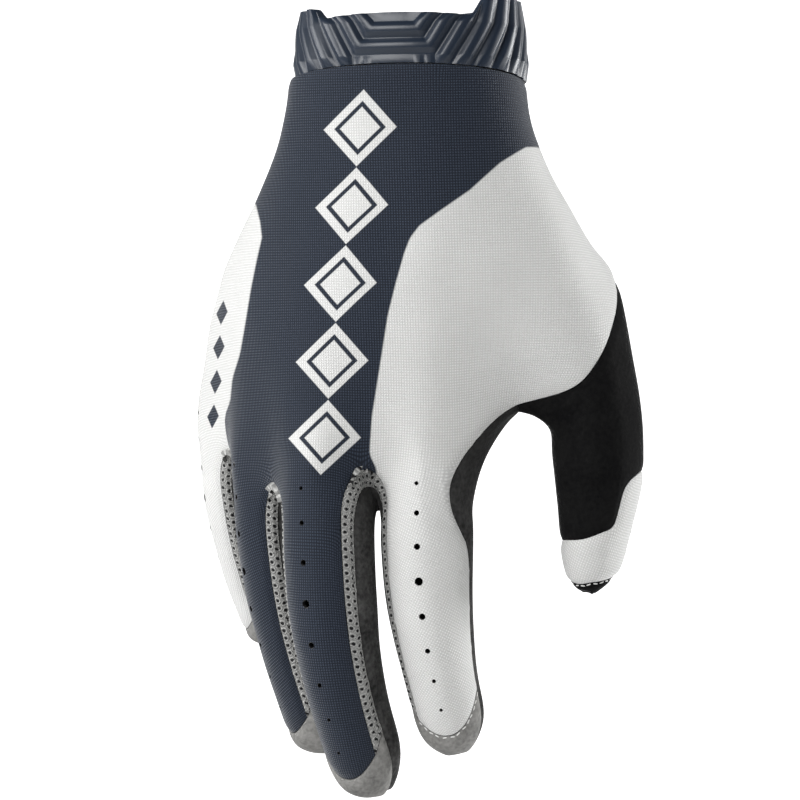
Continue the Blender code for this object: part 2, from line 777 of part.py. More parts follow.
def panel_solid(name, cage, normals, wall, material, gap=SEAM_GAP):
    """One panel as a closed wall, its edges drawn back from the seam by half the seam gap."""
    faces = [corners for panel, corners in cage.faces if panel == name]
    directed = edge_faces(faces)
    beyond = edge_faces([corners for panel, corners in cage.faces if panel != name])
    border = [edge for edge in directed if (edge[1], edge[0]) not in directed]
    inward = {}
    for start, end in border:
        pull = edge_pull(cage, start, end, directed[(start, end)])
        if (end, start) in beyond:
            pull = (pull - edge_pull(cage, start, end, beyond[(end, start)])).normalized()
        inward.setdefault(start, []).append(pull)
        inward.setdefault(end, []).append(pull)
    outer_points = {}
    for corners in faces:
        for key in corners:
            outer_points[key] = cage.points[key].copy()
    for key, pulls in inward.items():
        direction = sum(pulls, Vector()).normalized()
        lean = max(SHARPEST_CORNER, direction.dot(pulls[0]))
        outer_points[key] += direction * (0.5 * gap / lean)

    mesh = bmesh.new()
    outer = {key: mesh.verts.new(point) for key, point in outer_points.items()}
    inner = {key: mesh.verts.new(point - normals[key] * wall) for key, point in outer_points.items()}
    for corners in faces:
        mesh.faces.new([outer[key] for key in corners])
        mesh.faces.new([inner[key] for key in reversed(corners)])
    for start, end in border:
        # The rims of two neighbours are split along the same diagonal, so they stay parallel.
        if repr(start) < repr(end):
            mesh.faces.new([outer[end], outer[start], inner[end]])
            mesh.faces.new([outer[start], inner[start], inner[end]])
        else:
            mesh.faces.new([outer[end], outer[start], inner[start]])
            mesh.faces.new([outer[end], inner[start], inner[end]])
    return add_object(name, mesh, material)


SMOOTH_ANGLE = 38.0


def add_object(name, mesh, material):
    data = bpy.data.meshes.new(name)
    mesh.to_mesh(data)
    mesh.free()
    data.materials.append(material)
    data.shade_smooth()
    data.set_sharp_from_angle(angle=math.radians(SMOOTH_ANGLE))
    item = bpy.data.objects.new(name, data)
    bpy.context.scene.collection.objects.link(item)
    return item


# Perforations: a row of round holes down the back of each finger

# The turn and the reach over which the skin's facing is read at a hole.
FACING_TURN = 4.0
FACING_REACH = 0.001


def hole_cutter(name, digit, rows):
    """Short rods that stand in the wall, largest near the middle joint."""
    mesh = bmesh.new()
    for share, size in rows:
        reach = share * digit["length"]
        top = skin(digit, reach, 0.0)
        ahead = (skin(digit, reach, FACING_TURN) - skin(digit, reach, -FACING_TURN)).normalized()
        down = (skin(digit, reach + FACING_REACH, 0.0) - skin(digit, reach - FACING_REACH, 0.0)).normalized()
        outward = down.cross(ahead).normalized()
        if outward.dot(top - axis_point(digit, reach)) < 0.0:
            outward.negate()
        radius = 0.5 * size * HOLE_DIAMETER
        rings = []
        for height in (2.0 * KNIT_WALL, -2.5 * KNIT_WALL):
            ring = []
            for count in range(HOLE_SIDES):
                angle = 2.0 * math.pi * (count + 0.5) / HOLE_SIDES
                round_edge = ahead * math.cos(angle) + down * math.sin(angle)
                spot = top + outward * height + round_edge * radius
                ring.append(mesh.verts.new(spot))
            rings.append(ring)
        for count in range(HOLE_SIDES):
            after = (count + 1) % HOLE_SIDES
            mesh.faces.new([rings[0][count], rings[0][after], rings[1][after], rings[1][count]])
        mesh.faces.new(list(reversed(rings[0])))
        mesh.faces.new(rings[1])
    bmesh.ops.recalc_face_normals(mesh, faces=mesh.faces)
    data = bpy.data.meshes.new(name)
    mesh.to_mesh(data)
    mesh.free()
    cutter = bpy.data.objects.new(name, data)
    cutter.hide_render = True
    cutter.display_type = "WIRE"
    bpy.context.scene.collection.objects.link(cutter)
    return cutter


def cut_holes(target, cutter):
    cut = target.modifiers.new("perforations", "BOOLEAN")
    cut.operation = "DIFFERENCE"
    cut.solver = "EXACT"
    cut.object = cutter


# Moulded cuff: nested chevron steps on the back and slanting ribs round the sides

PLAIN_COLUMNS = 4
CHEVRONS = 3
SIDE_RIBS = 6
CHEVRON_LEAD = 0.8
WRIST_SAMPLES = 360
# One rib: shares of the way to the next rib, with the height there as a share of RIB_HEIGHT.
RIB_PROFILE = {0.0: 0.0, 0.30: 1.0, 0.78: 0.75}


def wrist_outline(angle):
    """The wrist's section at an angle from the middle of the back, before its turn."""
    cosine = math.cos(angle)
    across = 0.5 * WRIST_BREADTH * math.sin(angle)
    ahead = 0.5 * WRIST_DEPTH * math.copysign(abs(cosine) ** PALM_SQUARENESS, cosine)
    return Vector((across, -ahead, 0.0))


def wrist_runs():
    """How far round the wrist each of the sampled angles is, from the back to the palm."""
    runs = [0.0]
    for count in range(WRIST_SAMPLES):
        first = wrist_outline(math.pi * count / WRIST_SAMPLES)
        second = wrist_outline(math.pi * (count + 1) / WRIST_SAMPLES)
        runs.append(runs[-1] + (second - first).length)
    return runs


def wrist_angle(runs, run):
    size = min(abs(run), runs[-1])
    place = next((count for count, far in enumerate(runs) if far >= size), WRIST_SAMPLES)
    if place == 0:
        return 0.0
    part = (size - runs[place - 1]) / (runs[place] - runs[place - 1])
    return math.copysign(math.pi * (place - 1 + part) / WRIST_SAMPLES, run)


def cuff_point(angle, drop, height):
    """A point of the cuff, height metres outside its smooth outer face."""
    flare = CUFF_FLARE * (drop / CUFF_HEIGHT - 1.0)
    here = wrist_outline(angle)
    ahead = wrist_outline(angle + 0.01) - wrist_outline(angle - 0.01)
    outward = Vector((ahead.y, -ahead.x, 0.0)).normalized()
    spot = here + outward * (flare + height)
    turn = math.radians(WRIST_TURN)
    return Vector((spot.x * math.cos(turn) - spot.y * math.sin(turn),
                   spot.x * math.sin(turn) + spot.y * math.cos(turn), -drop))


def cuff_columns():
    """Levels of the columns on one side, from the middle of the back to the last rib."""
    levels = [-1.0, -0.45]
    for rib in range(CHEVRONS + SIDE_RIBS):
        levels += [rib + share for share in RIB_PROFILE]
    levels.append(float(CHEVRONS + SIDE_RIBS))
    return levels


def rib_run(level, drop):
    """How far round from the middle of the back a slanting column is at a drop."""
    if level < 0.0:
        return CHEVRON_HALF_WIDTH * (1.0 + level)
    foot = CHEVRON_DROP * (level + CHEVRON_LEAD)
    above = min(drop, foot) - 0.8 * CHEVRON_DROP
    return CHEVRON_HALF_WIDTH + level * RIB_PITCH - RIB_LEAN * above


def rib_height(level):
    if level < 0.0 or level >= CHEVRONS + SIDE_RIBS:
        return 0.0
    share = level - math.floor(level + 1e-6)
    nearest = min(RIB_PROFILE, key=lambda known: abs(known - share))
    return RIB_PROFILE[nearest] * RIB_HEIGHT


def cuff_top(run, half_round):
    """The top edge dips and arches over the back and stands higher round the sides, most on the thumb side."""
    dip = half_round * CUFF_DIP_SPAN / 180.0
    rise = mix(CUFF_OUTER_RISE, CUFF_SIDE_RISE, 0.5 + 0.5 * math.sin(math.pi * run / half_round))
    over_back = CUFF_BACK_DIP + CUFF_BACK_ARCH * min(1.0, abs(run) / dip) ** 2
    return mix(over_back, -rise, ease((abs(run) - dip) / (0.4 * CUFF_HEIGHT) + 0.5))


def make_cuff(material):
    runs = wrist_runs()
    half_round = runs[-1]
    side = cuff_columns()
    last = side[-1]
    columns = [(level, 0.0) for level in side]
    columns += [(last, (count + 1) / PLAIN_COLUMNS) for count in range(PLAIN_COLUMNS)]
    whole = [(1, column) for column in columns] + [(-1, column) for column in reversed(columns[1:-1])]
    row_levels = [-1.0] + [rib + share for rib in range(CHEVRONS) for share in RIB_PROFILE]
    rows = [0.0] + [CHEVRON_DROP * (level + CHEVRON_LEAD) for level in row_levels[1:]]
    keep = [(level, drop) for level, drop in zip(row_levels, rows) if drop < CUFF_HEIGHT - RIB_FOOT_ROOM]
    keep.append((None, None))

    mesh = bmesh.new()
    outer = []
    inner = []
    for row, (row_level, row_drop) in enumerate(keep):
        outer_row = []
        inner_row = []
        for sign, (level, plain) in whole:
            drop = row_drop if row_drop is not None else CUFF_HEIGHT
            run = mix(rib_run(level, drop), half_round, plain) * sign
            angle = wrist_angle(runs, run)
            if row == 0:
                drop = cuff_top(run, half_round)
            if row_drop is None:
                drop = cuff_seam_drop(math.degrees(angle))
            height = rib_height(max(level, row_level if row_level is not None else -1.0))
            if plain > 0.0:
                height = 0.0
            if row_drop is None:
                height *= 0.3
            if row == 0:
                height *= 0.6
            outer_row.append(mesh.verts.new(cuff_point(angle, drop, height)))
            inner_row.append(mesh.verts.new(cuff_point(angle, drop, -CUFF_WALL)))
        outer.append(outer_row)
        inner.append(inner_row)
    count = len(whole)
    for column in range(count):
        after = (column + 1) % count
        for row in range(len(keep) - 1):
            mesh.faces.new([outer[row][column], outer[row + 1][column],
                            outer[row + 1][after], outer[row][after]])
            mesh.faces.new([inner[row][after], inner[row + 1][after],
                            inner[row + 1][column], inner[row][column]])
        mesh.faces.new([outer[0][column], outer[0][after], inner[0][after], inner[0][column]])
        mesh.faces.new([outer[-1][after], outer[-1][column], inner[-1][column], inner[-1][after]])
    return add_object("cuff", mesh, material)


# The seam pieces, each with its finish and its wall

PANELS = {
    "back_shell": ("navy_knit", KNIT_WALL),
    "palm": ("dark_suede", SUEDE_WALL),
    "fourchette_little_ring": ("grey_mesh", MESH_WALL),
    "fourchette_ring_middle": ("grey_mesh", MESH_WALL),
    "fourchette_middle_index": ("grey_mesh", MESH_WALL),
    "tip_cap_little": ("grey_suede", SUEDE_WALL),
    "tip_cap_ring": ("grey_suede", SUEDE_WALL),
    "tip_cap_middle": ("grey_suede", SUEDE_WALL),
    "tip_cap_index": ("grey_suede", SUEDE_WALL),
    "thumb_panel": ("dark_suede", SUEDE_WALL),
    "thumb_tip": ("white_knit", KNIT_WALL),
    "thumb_tip_cap": ("dark_suede", SUEDE_WALL),
}


def main():
    clear_scene()
    materials = {name: make_material(name) for name in COLOURS}
    digits = make_digits()
    cage = build_cage(digits)
    normals = cage_normals(cage)
    solids = {}
    for name, (material, wall) in PANELS.items():
        solids[name] = panel_solid(name, cage, normals, wall, materials[material])
    for name in FINGERS:
        cut_holes(solids["back_shell"], hole_cutter("perforations_" + name, digits[name], HOLES))
    cut_holes(solids["thumb_tip"], hole_cutter("perforations_thumb", digits["thumb"], THUMB_HOLES))
    make_cuff(materials["navy_rubber"])


main()
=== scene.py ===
# Motocross glove held upright by the hand inside it, on a plain pale ground
import math

import bmesh
import bpy
import numpy as np
from mathutils import Matrix, Vector, kdtree, noise


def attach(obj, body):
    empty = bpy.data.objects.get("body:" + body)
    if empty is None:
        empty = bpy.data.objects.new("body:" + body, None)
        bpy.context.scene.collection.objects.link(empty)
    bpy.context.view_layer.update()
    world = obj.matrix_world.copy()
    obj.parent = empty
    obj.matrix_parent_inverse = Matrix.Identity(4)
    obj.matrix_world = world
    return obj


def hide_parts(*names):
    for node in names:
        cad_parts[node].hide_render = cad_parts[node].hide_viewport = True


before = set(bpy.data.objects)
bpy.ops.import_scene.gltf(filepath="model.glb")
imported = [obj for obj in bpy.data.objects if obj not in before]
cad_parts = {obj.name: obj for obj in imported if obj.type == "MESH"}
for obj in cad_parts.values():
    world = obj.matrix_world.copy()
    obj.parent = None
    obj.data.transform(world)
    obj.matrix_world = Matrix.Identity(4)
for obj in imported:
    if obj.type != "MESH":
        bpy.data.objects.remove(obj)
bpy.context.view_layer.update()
print("frame loaded")

wallValues = {"knit": 0.0014, "suede": 0.0016, "mesh": 0.0012, "gap": 0.0003}


def mix(first, second, share):
    return first + (second - first) * share


def ease(share):
    share = min(1.0, max(0.0, share))
    return share * share * (3.0 - 2.0 * share)


# Fingers and thumb: a bent, tapering tube with a domed tip

fingerValues = {
    "width": 0.0240,
    "gap": 0.0014,
    "dome": 0.0110,           # height of the rounded tip
    "bluntness": 0.78,
    "bendStart": 0.15,        # where the bend starts and ends, as shares of the length
    "bendEnd": 0.95,
    "steps": 48,
    "spreadStart": 0.45,      # where the columns spread to the sides, as a share of the length
    "spreadSpan": 0.50,
    "outerSeam": 84.0,        # turn of the outer seam of the index and little fingers, in degrees
    "middleBase": (-0.0210, -0.0080),
    "thumbBase": (0.0310, 0.0310),
}

# width and depth are shares of the finger width above, tip is the tip's width as a share of the base's,
# facing is the way the back looks in degrees from -Y towards the thumb, lean how far the finger tips from
# hanging straight at its base and its tip, heading where it tips to, taper where its tapering starts and
# ends, step the direction of the line from the finger before it, rise its base above the others' level
digitTable = {
    "little": dict(length=0.0700, width=0.90, depth=0.87, tip=0.80, facing=-47.0,
                   lean=(6.0, 28.0), heading=89.0, step=None, rise=0.0210, taper=(0.30, 0.85)),
    "ring": dict(length=0.0860, width=0.94, depth=0.95, tip=0.84, facing=-33.0,
                 lean=(6.0, 29.0), heading=86.0, step=-28.0, rise=0.0075, taper=(0.30, 0.85)),
    "middle": dict(length=0.0900, width=1.02, depth=1.0, tip=0.82, facing=0.0,
                   lean=(2.0, 30.0), heading=90.0, step=-19.0, rise=0.0, taper=(0.30, 0.85)),
    "index": dict(length=0.0770, width=1.0, depth=1.0, tip=0.77, facing=23.0,
                  lean=(0.5, 22.0), heading=84.0, step=35.0, rise=0.0, taper=(0.30, 0.85)),
    "thumb": dict(length=0.0750, width=1.06, depth=1.03, tip=0.63, facing=122.0,
                  lean=(11.0, -8.5), heading=50.0, step=None, rise=0.0410, taper=(0.48, 0.98)),
}
fingerNames = ("little", "ring", "middle", "index")

# Sixteen columns run down each finger: 0 is the middle of its back, 8 the middle of its front.
# The turn of each in degrees, on the way down and at the tip
columnTurns = (0.0, 26.0, 52.0, 60.0, 68.0, 90.0, 112.0, 146.0, 180.0)
tipTurns = (0.0, 28.0, 57.0, 69.0, 82.0, 100.0, 120.0, 148.0, 180.0)
forkColumn = 2
sideColumn = 4
creaseColumn = 6
columnCount = 16
# The index finger's side patch: shares of the length, with the turn of its seam there
patchEdge = ((-0.24, 84.0), (-0.12, 44.0), (0.0, 41.0), (0.20, 43.0), (0.25, 84.0))


def headingVector(degrees):
    return Vector((math.cos(math.radians(degrees)), math.sin(math.radians(degrees)), 0.0))


def facingVector(degrees):
    return Vector((math.sin(math.radians(degrees)), -math.cos(math.radians(degrees)), 0.0))


def leanDirection(digit, share):
    start, end = digit["lean"]
    bendStart = fingerValues["bendStart"]
    lean = math.radians(mix(start, end, ease((share - bendStart) / (fingerValues["bendEnd"] - bendStart))))
    return headingVector(digit["heading"]) * math.sin(lean) - Vector((0.0, 0.0, math.cos(lean)))


# Each finger with its base and the points of its axis.
def makeDigits():
    digits = {name: dict(row) for name, row in digitTable.items()}
    bases = {name: Vector(fingerValues[name + "Base"]).to_3d() for name in ("middle", "thumb")}

    def pitch(left, right):
        halfWidths = 0.5 * fingerValues["width"] * (digitTable[left]["width"] + digitTable[right]["width"])
        return halfWidths + fingerValues["gap"]

    bases["index"] = bases["middle"] + headingVector(digitTable["index"]["step"]) * pitch("middle", "index")
    bases["ring"] = bases["middle"] - headingVector(digitTable["middle"]["step"]) * pitch("ring", "middle")
    bases["little"] = bases["ring"] - headingVector(digitTable["ring"]["step"]) * pitch("little", "ring")
    for name, digit in digits.items():
        base = bases[name]
        base.z = -handValues["length"] + digit["rise"]
        step = digit["length"] / fingerValues["steps"]
        axis = [base]
        for count in range(fingerValues["steps"]):
            axis.append(axis[-1] + leanDirection(digit, (count + 0.5) / fingerValues["steps"]) * step)
        digit["axis"] = axis
        digit["straight"] = digit["length"] - fingerValues["dome"]
        radius = 0.5 * fingerValues["width"] * digit["width"] * digit["tip"]
        digit["dome_arc"] = 0.5 * math.pi * math.sqrt(0.5 * (radius ** 2 + fingerValues["dome"] ** 2))
        digit["reach"] = digit["straight"] + digit["dome_arc"]
    return digits


# A point of the axis, also above the finger's base.
def axisPoint(digit, along):
    share = along / digit["length"]
    if share <= 0.0:
        return digit["axis"][0] + leanDirection(digit, 0.0) * along
    place = min(share, 1.0) * fingerValues["steps"]
    low = min(int(place), fingerValues["steps"] - 1)
    return digit["axis"][low].lerp(digit["axis"][low + 1], place - low)


def spread(share):
    return ease((share - fingerValues["spreadStart"]) / fingerValues["spreadSpan"])


# The turn of a column in degrees. Columns spread towards the sides near the tip.
def columnTurn(index, share):
    size = abs(index)
    turn = mix(columnTurns[size], tipTurns[size], spread(share))
    return math.copysign(turn, index)


# A point on the outside, reach metres down its length and over the dome, turn degrees round.
def skin(digit, reach, turn):
    along = reach
    narrow = 1.0
    if reach > digit["straight"]:
        swing = 0.5 * math.pi * min(1.0, (reach - digit["straight"]) / digit["dome_arc"])
        along = digit["straight"] + fingerValues["dome"] * math.sin(swing)
        narrow = max(0.0, math.cos(swing)) ** fingerValues["bluntness"]
    share = along / digit["length"]
    start, end = digit["taper"]
    taper = mix(1.0, digit["tip"], ease((share - start) / (end - start)))
    down = leanDirection(digit, min(1.0, max(0.0, share)))
    front = facingVector(digit["facing"])
    front = (front - down * front.dot(down)).normalized()
    side = down.cross(front) * -1.0
    angle = math.radians(turn)
    across = 0.5 * fingerValues["width"] * digit["width"] * taper * narrow * math.sin(angle)
    ahead = 0.5 * fingerValues["width"] * digit["depth"] * taper * narrow * math.cos(angle)
    return axisPoint(digit, along) + side * across + front * ahead


# The turn of the seam round the index finger's side patch.
def patchTurn(share):
    if share <= patchEdge[0][0]:
        return patchEdge[0][1]
    for (low, first), (high, second) in zip(patchEdge, patchEdge[1:]):
        if share <= high:
            return mix(first, second, (share - low) / (high - low))
    return tipTurns[sideColumn] + fingerValues["outerSeam"]


# The turn of a column, with the index finger's outer columns drawn in round its side patch.
def sideBulgeTurn(digitName, index, share):
    turn = columnTurn(index, share)
    outer = (digitName == "index" and index > 0) or (digitName == "little" and index < 0)
    if not outer or abs(index) > sideColumn:
        return turn
    edge = mix(fingerValues["outerSeam"], tipTurns[sideColumn], spread(share))
    if digitName == "index":
        edge = min(edge, patchTurn(share))
    return math.copysign(edge * abs(index) / sideColumn, index)


# Palm: bent elliptical sections that flow into the fingers and the thumb

handValues = {
    "length": 0.1165,         # from the wrist opening to the bases of the middle and index fingers
    "thickness": 0.0350,
    "squareness": 0.80,
    "knuckleRise": 0.0010,
    "webSlope": 0.0115,
    "webDrop": 0.1010,        # drop of the web between the thumb and the index finger
    "webRowRise": 0.0170,
    "webTurn": 12.0,          # turn of the back end of the web's edge on the index finger
    "webShare": 0.58,
    "webPull": 0.8,           # pull of the palm's rows towards the web
    "rows": 7,
    "handRow": 0.55,          # place of the row between the palm and the forks
    "patchRow": 0.40,
    "sinkShare": 0.4,         # how much of a fork's sink is left over the palm
    "thumbSeamTop": 0.0665,
    "thumbSeamTurn": 40.0,
    "thumbSeamBluntness": 0.85,
    "smoothRounds": 8,
}
# Where each seam column stands around the palm, in degrees from the middle of the back
palmTurns = {"outer": -73.0, "little": -44.0, "ring": -21.0, "middle": 0.0, "index": 17.0, "web": 24.7}
# drop is a share of the hand's length, across, back and breadth are shares of the wrist's breadth,
# depth is a share of the hand's thickness, turn is in degrees, and cup is the angle through which the
# section bends round the palm
palmSections = (
    dict(drop=0.12, across=-0.012, back=-0.01, breadth=0.525, depth=0.660, turn=23.0, cup=0.0),
    dict(drop=0.25, across=-0.005, back=-0.01, breadth=0.530, depth=0.610, turn=21.0, cup=12.0),
    dict(drop=0.36, across=-0.02, back=-0.02, breadth=0.635, depth=0.560, turn=17.0, cup=32.0),
    dict(drop=0.47, across=-0.04, back=-0.03, breadth=0.765, depth=0.530, turn=13.0, cup=50.0),
    dict(drop=0.64, across=-0.10, back=-0.04, breadth=1.000, depth=0.490, turn=8.0, cup=72.0),
    dict(drop=0.86, across=-0.175, back=-0.03, breadth=1.130, depth=0.450, turn=5.0, cup=80.0),
    dict(drop=1.10, across=-0.19, back=-0.03, breadth=1.150, depth=0.440, turn=4.0, cup=80.0),
)
# How much each palm row already follows the fingers and the thumb below it
fingerPull = (0.0, 0.0, 0.0, 0.03, 0.12, 0.28, 0.50, 0.72)
thumbPull = (0.0, 0.0, 0.0, 0.08, 0.25, 0.50, 0.78, 1.0)


# The palm section at a drop below the wrist opening, between the two rows of the table.
def palmSection(drop):
    share = drop / handValues["length"]
    low = palmSections[0]
    if share <= low["drop"]:
        return low
    for high in palmSections[1:]:
        if share <= high["drop"]:
            part = (share - low["drop"]) / (high["drop"] - low["drop"])
            return {key: mix(low[key], high[key], part) for key in low}
        low = high
    return low


def palmPoint(drop, turn):
    section = palmSection(drop)
    angle = math.radians(turn)
    half = section["breadth"] * wristValues["breadth"]
    run = half * math.sin(angle)
    cosine = math.cos(angle)
    blunt = math.copysign(abs(cosine) ** handValues["squareness"], cosine)
    height = section["depth"] * handValues["thickness"] * blunt
    facing = math.radians(section["turn"])
    bend = math.radians(section["cup"]) / (2.0 * half)
    localTurn = facing + bend * run
    if bend > 1e-6:
        across = (math.sin(localTurn) - math.sin(facing)) / bend
        back = (math.cos(facing) - math.cos(localTurn)) / bend
    else:
        across = run * math.cos(facing)
        back = run * math.sin(facing)
    centre = Vector((section["across"], section["back"], 0.0)) * wristValues["breadth"]
    centre.z = -drop
    outward = Vector((math.sin(localTurn), -math.cos(localTurn), 0.0))
    return centre + Vector((across, back, 0.0)) + outward * height


# The drop of the seam between the cuff and the hand, deepest on the palm side.
def cuffSeamDrop(turn):
    sink = cuffValues["sideDrop"] * math.sin(math.radians(0.5 * turn)) ** 2
    return cuffValues["height"] - cuffValues["seamRise"] + sink


# Columns round the palm from the outer side over the back to the thumb and back over the palm.
def palmOrder():
    order = [("little", index) for index in range(-creaseColumn, forkColumn + 1)]
    for name in fingerNames[1:]:
        order += [(name, index) for index in range(-forkColumn + 1, forkColumn + 1)]
    order += [("index", index) for index in range(forkColumn + 1, sideColumn + 1)]
    order += [("thumb", index) for index in range(-creaseColumn, creaseColumn + 1)]
    order += [("index", creaseColumn)]
    for name in reversed(fingerNames):
        order += [(name, index) for index in (7, 8, -7, -creaseColumn)]
    return order[:-1]


# Columns round the hand below the thumb.
def handOrder():
    order = palmOrder()
    first = order.index(("thumb", -creaseColumn))
    last = order.index(("thumb", creaseColumn))
    return order[:first] + [("index", 5)] + order[last + 1:]


# Where a column stands around the palm in degrees.
def palmTurn(name, index):
    if name == "thumb":
        web = palmTurns["web"]
        return mix(web, 180.0 - web, (index + 7.0) / 14.0)
    order = ("outer",) + fingerNames[:-1] + ("index",)
    place = fingerNames.index(name)
    left = palmTurns[order[place]]
    right = palmTurns[order[place + 1]]
    if abs(index) <= forkColumn:
        return mix(left, right, (index + forkColumn) / (2.0 * forkColumn))
    if name == "index" and 0 < index <= sideColumn:
        return mix(right, palmTurns["web"], (index - forkColumn) / (sideColumn - forkColumn))
    if name == "index" and index == creaseColumn:
        return 180.0 - palmTurns["web"]
    if name == "little" and -creaseColumn < index < 0:
        return mix(left, -180.0 - left, (-index - forkColumn) / (creaseColumn - forkColumn))
    if name == "index":
        right = palmTurns["web"]
    wrapped = index if index > 0 else index + columnCount
    return mix(180.0 - right, 180.0 - left, (wrapped - creaseColumn) / (columnCount - 2.0 * creaseColumn))


# Points by name, and faces with the panel that each belongs to.
class Cage:

    def __init__(self):
        self.points = {}
        self.faces = []

    def band(self, upper, lower, panels):
        count = len(panels)
        for column in range(count):
            after = (column + 1) % len(upper)
            corners = [upper[column], lower[column], lower[after], upper[after]]
            self.faces.append((panels[column], corners))


def neighbour(name, side):
    place = fingerNames.index(name) + side
    return fingerNames[place] if 0 <= place < len(fingerNames) else None


# The name of a point of the fork row, shared by two fingers where they meet.
def forkKey(name, index):
    if name in fingerNames and -creaseColumn <= index <= -forkColumn and neighbour(name, -1):
        return ("fork", neighbour(name, -1), -index)
    return ("fork", name, index)


# How far the edge of the web has dropped at each column past the fork, as a share of its slope
forkSlopes = {3: 0.20, 4: 0.42, 5: 0.76, 6: 1.0, 7: 1.0, 8: 1.0}
# How far the forks beside the ring finger lie below the others
forkSinks = {"little": 0.0080, "ring": 0.0070, "middle": 0.0}


# How far down its finger a point of the fork row lies.
def forkReach(digits, name, index):
    own = digits[name]["axis"][0].z

    def forkHeight(side):
        other = neighbour(name, side)
        return own if other is None else 0.5 * (own + digits[other]["axis"][0].z)

    slope = forkSlopes.get(abs(index), 0.0)
    sink = mix(1.0, handValues["sinkShare"], slope)
    level = own - handValues["knuckleRise"]
    left = level - forkHeight(-1) + sink * forkSinks.get(neighbour(name, -1), 0.0)
    right = level - forkHeight(1) + sink * (forkSinks[name] if neighbour(name, 1) else 0.0)
    if abs(index) <= forkColumn:
        return mix(left, right, (index + forkColumn) / (2.0 * forkColumn))
    if abs(index) > creaseColumn:
        wrapped = index if index > 0 else index + columnCount
        share = (wrapped - creaseColumn) / (columnCount - 2.0 * creaseColumn)
        return mix(right, left, share) + handValues["webSlope"]
    return (right if index > 0 else left) + slope * handValues["webSlope"]


# The slanting upper seam of the thumb, lowest at the web and highest on its outer side.
def thumbSeamReach(digits, index):
    base = -digits["thumb"]["axis"][0].z
    turn = columnTurns[abs(index)] * (1.0 if index > 0 else -1.0)
    slant = math.sin(math.radians(0.5 * (turn - handValues["thumbSeamTurn"]))) ** 2
    slant = slant ** handValues["thumbSeamBluntness"]
    return mix(handValues["thumbSeamTop"], handValues["webDrop"], slant) - base


# The three points across the edge of the web, between the index finger and the thumb.
def webPoint(digits, index):
    thumbIndex = {sideColumn: -7, 5: 8, creaseColumn: 7}[index]
    indexDigit = digits["index"]
    drop = handValues["webDrop"] + indexDigit["axis"][0].z
    turn = columnTurns[index] + (handValues["webTurn"] if index == sideColumn else 0.0)
    fingerPoint = skin(indexDigit, drop, turn)
    thumbReach = handValues["webDrop"] + digits["thumb"]["axis"][0].z
    thumbTurn = math.copysign(columnTurns[abs(thumbIndex)], thumbIndex)
    thumbPoint = skin(digits["thumb"], thumbReach, thumbTurn)
    return fingerPoint.lerp(thumbPoint, handValues["webShare"])


# The drop of the web row on each column of the palm.
def columnDrop(digits, name, index):
    if name == "thumb":
        return -skin(digits["thumb"], thumbSeamReach(digits, index), columnTurns[abs(index)]).z
    base = -digits[name]["axis"][0].z
    back = base - handValues["webRowRise"]
    if name == "index" and 0 < index <= creaseColumn:
        return mix(back, handValues["webDrop"], ease((index - 1.0) / 3.0))
    if abs(index) > sideColumn:
        return back + 0.5 * handValues["webSlope"]
    return back


# The point of a finger's own surface at a drop, shared between neighbours at a fork column.
def followPoint(digits, name, index, drop):
    digit = digits[name]
    own = skin(digit, drop + digit["axis"][0].z, math.copysign(columnTurns[abs(index)], index))
    side = 1 if index > 0 else -1
    if abs(index) in (forkColumn, creaseColumn) and name in fingerNames and neighbour(name, side):
        other = digits[neighbour(name, side)]
        otherTurn = -math.copysign(columnTurns[abs(index)], index)
        own = 0.5 * (own + skin(other, drop + other["axis"][0].z, otherTurn))
    own.z = -drop
    return own


def buildPalm(cage, digits):
    order = palmOrder()
    for row in range(handValues["rows"] + 1):
        for name, index in order:
            turn = palmTurn(name, index)
            seam = cuffSeamDrop(turn) + wallValues["gap"]
            drop = mix(seam, columnDrop(digits, name, index), row / handValues["rows"])
            pull = (thumbPull if name == "thumb" else fingerPull)[row]
            point = palmPoint(drop, turn).lerp(followPoint(digits, name, index, drop), pull)
            cage.points[("palm", row, name, index)] = point
    for index in (sideColumn, 5, creaseColumn):
        cage.points[("palm", handValues["rows"], "index", index)] = webPoint(digits, index)
    for row in range(3, handValues["rows"]):
        pull = thumbPull[row] ** 2
        for index in (sideColumn, creaseColumn):
            key = ("palm", row, "index", index)
            target = webPoint(digits, index)
            target.z = cage.points[key].z
            cage.points[key] = cage.points[key].lerp(target, pull * handValues["webPull"])

    firstKnit = order.index(("little", -sideColumn))
    lastKnit = order.index(("thumb", 3))
    for row in range(handValues["rows"]):
        upper = [("palm", row, name, index) for name, index in order]
        lower = [("palm", row + 1, name, index) for name, index in order]
        panels = ["back_shell" if firstKnit <= place < lastKnit else "palm" for place in range(len(order))]
        cage.band(upper, lower, panels)


# How much the hand row follows the index finger's outer columns, round the top of its side patch
patchPull = {1: 0.30, 2: 0.55, 3: 0.80, 4: 0.95}


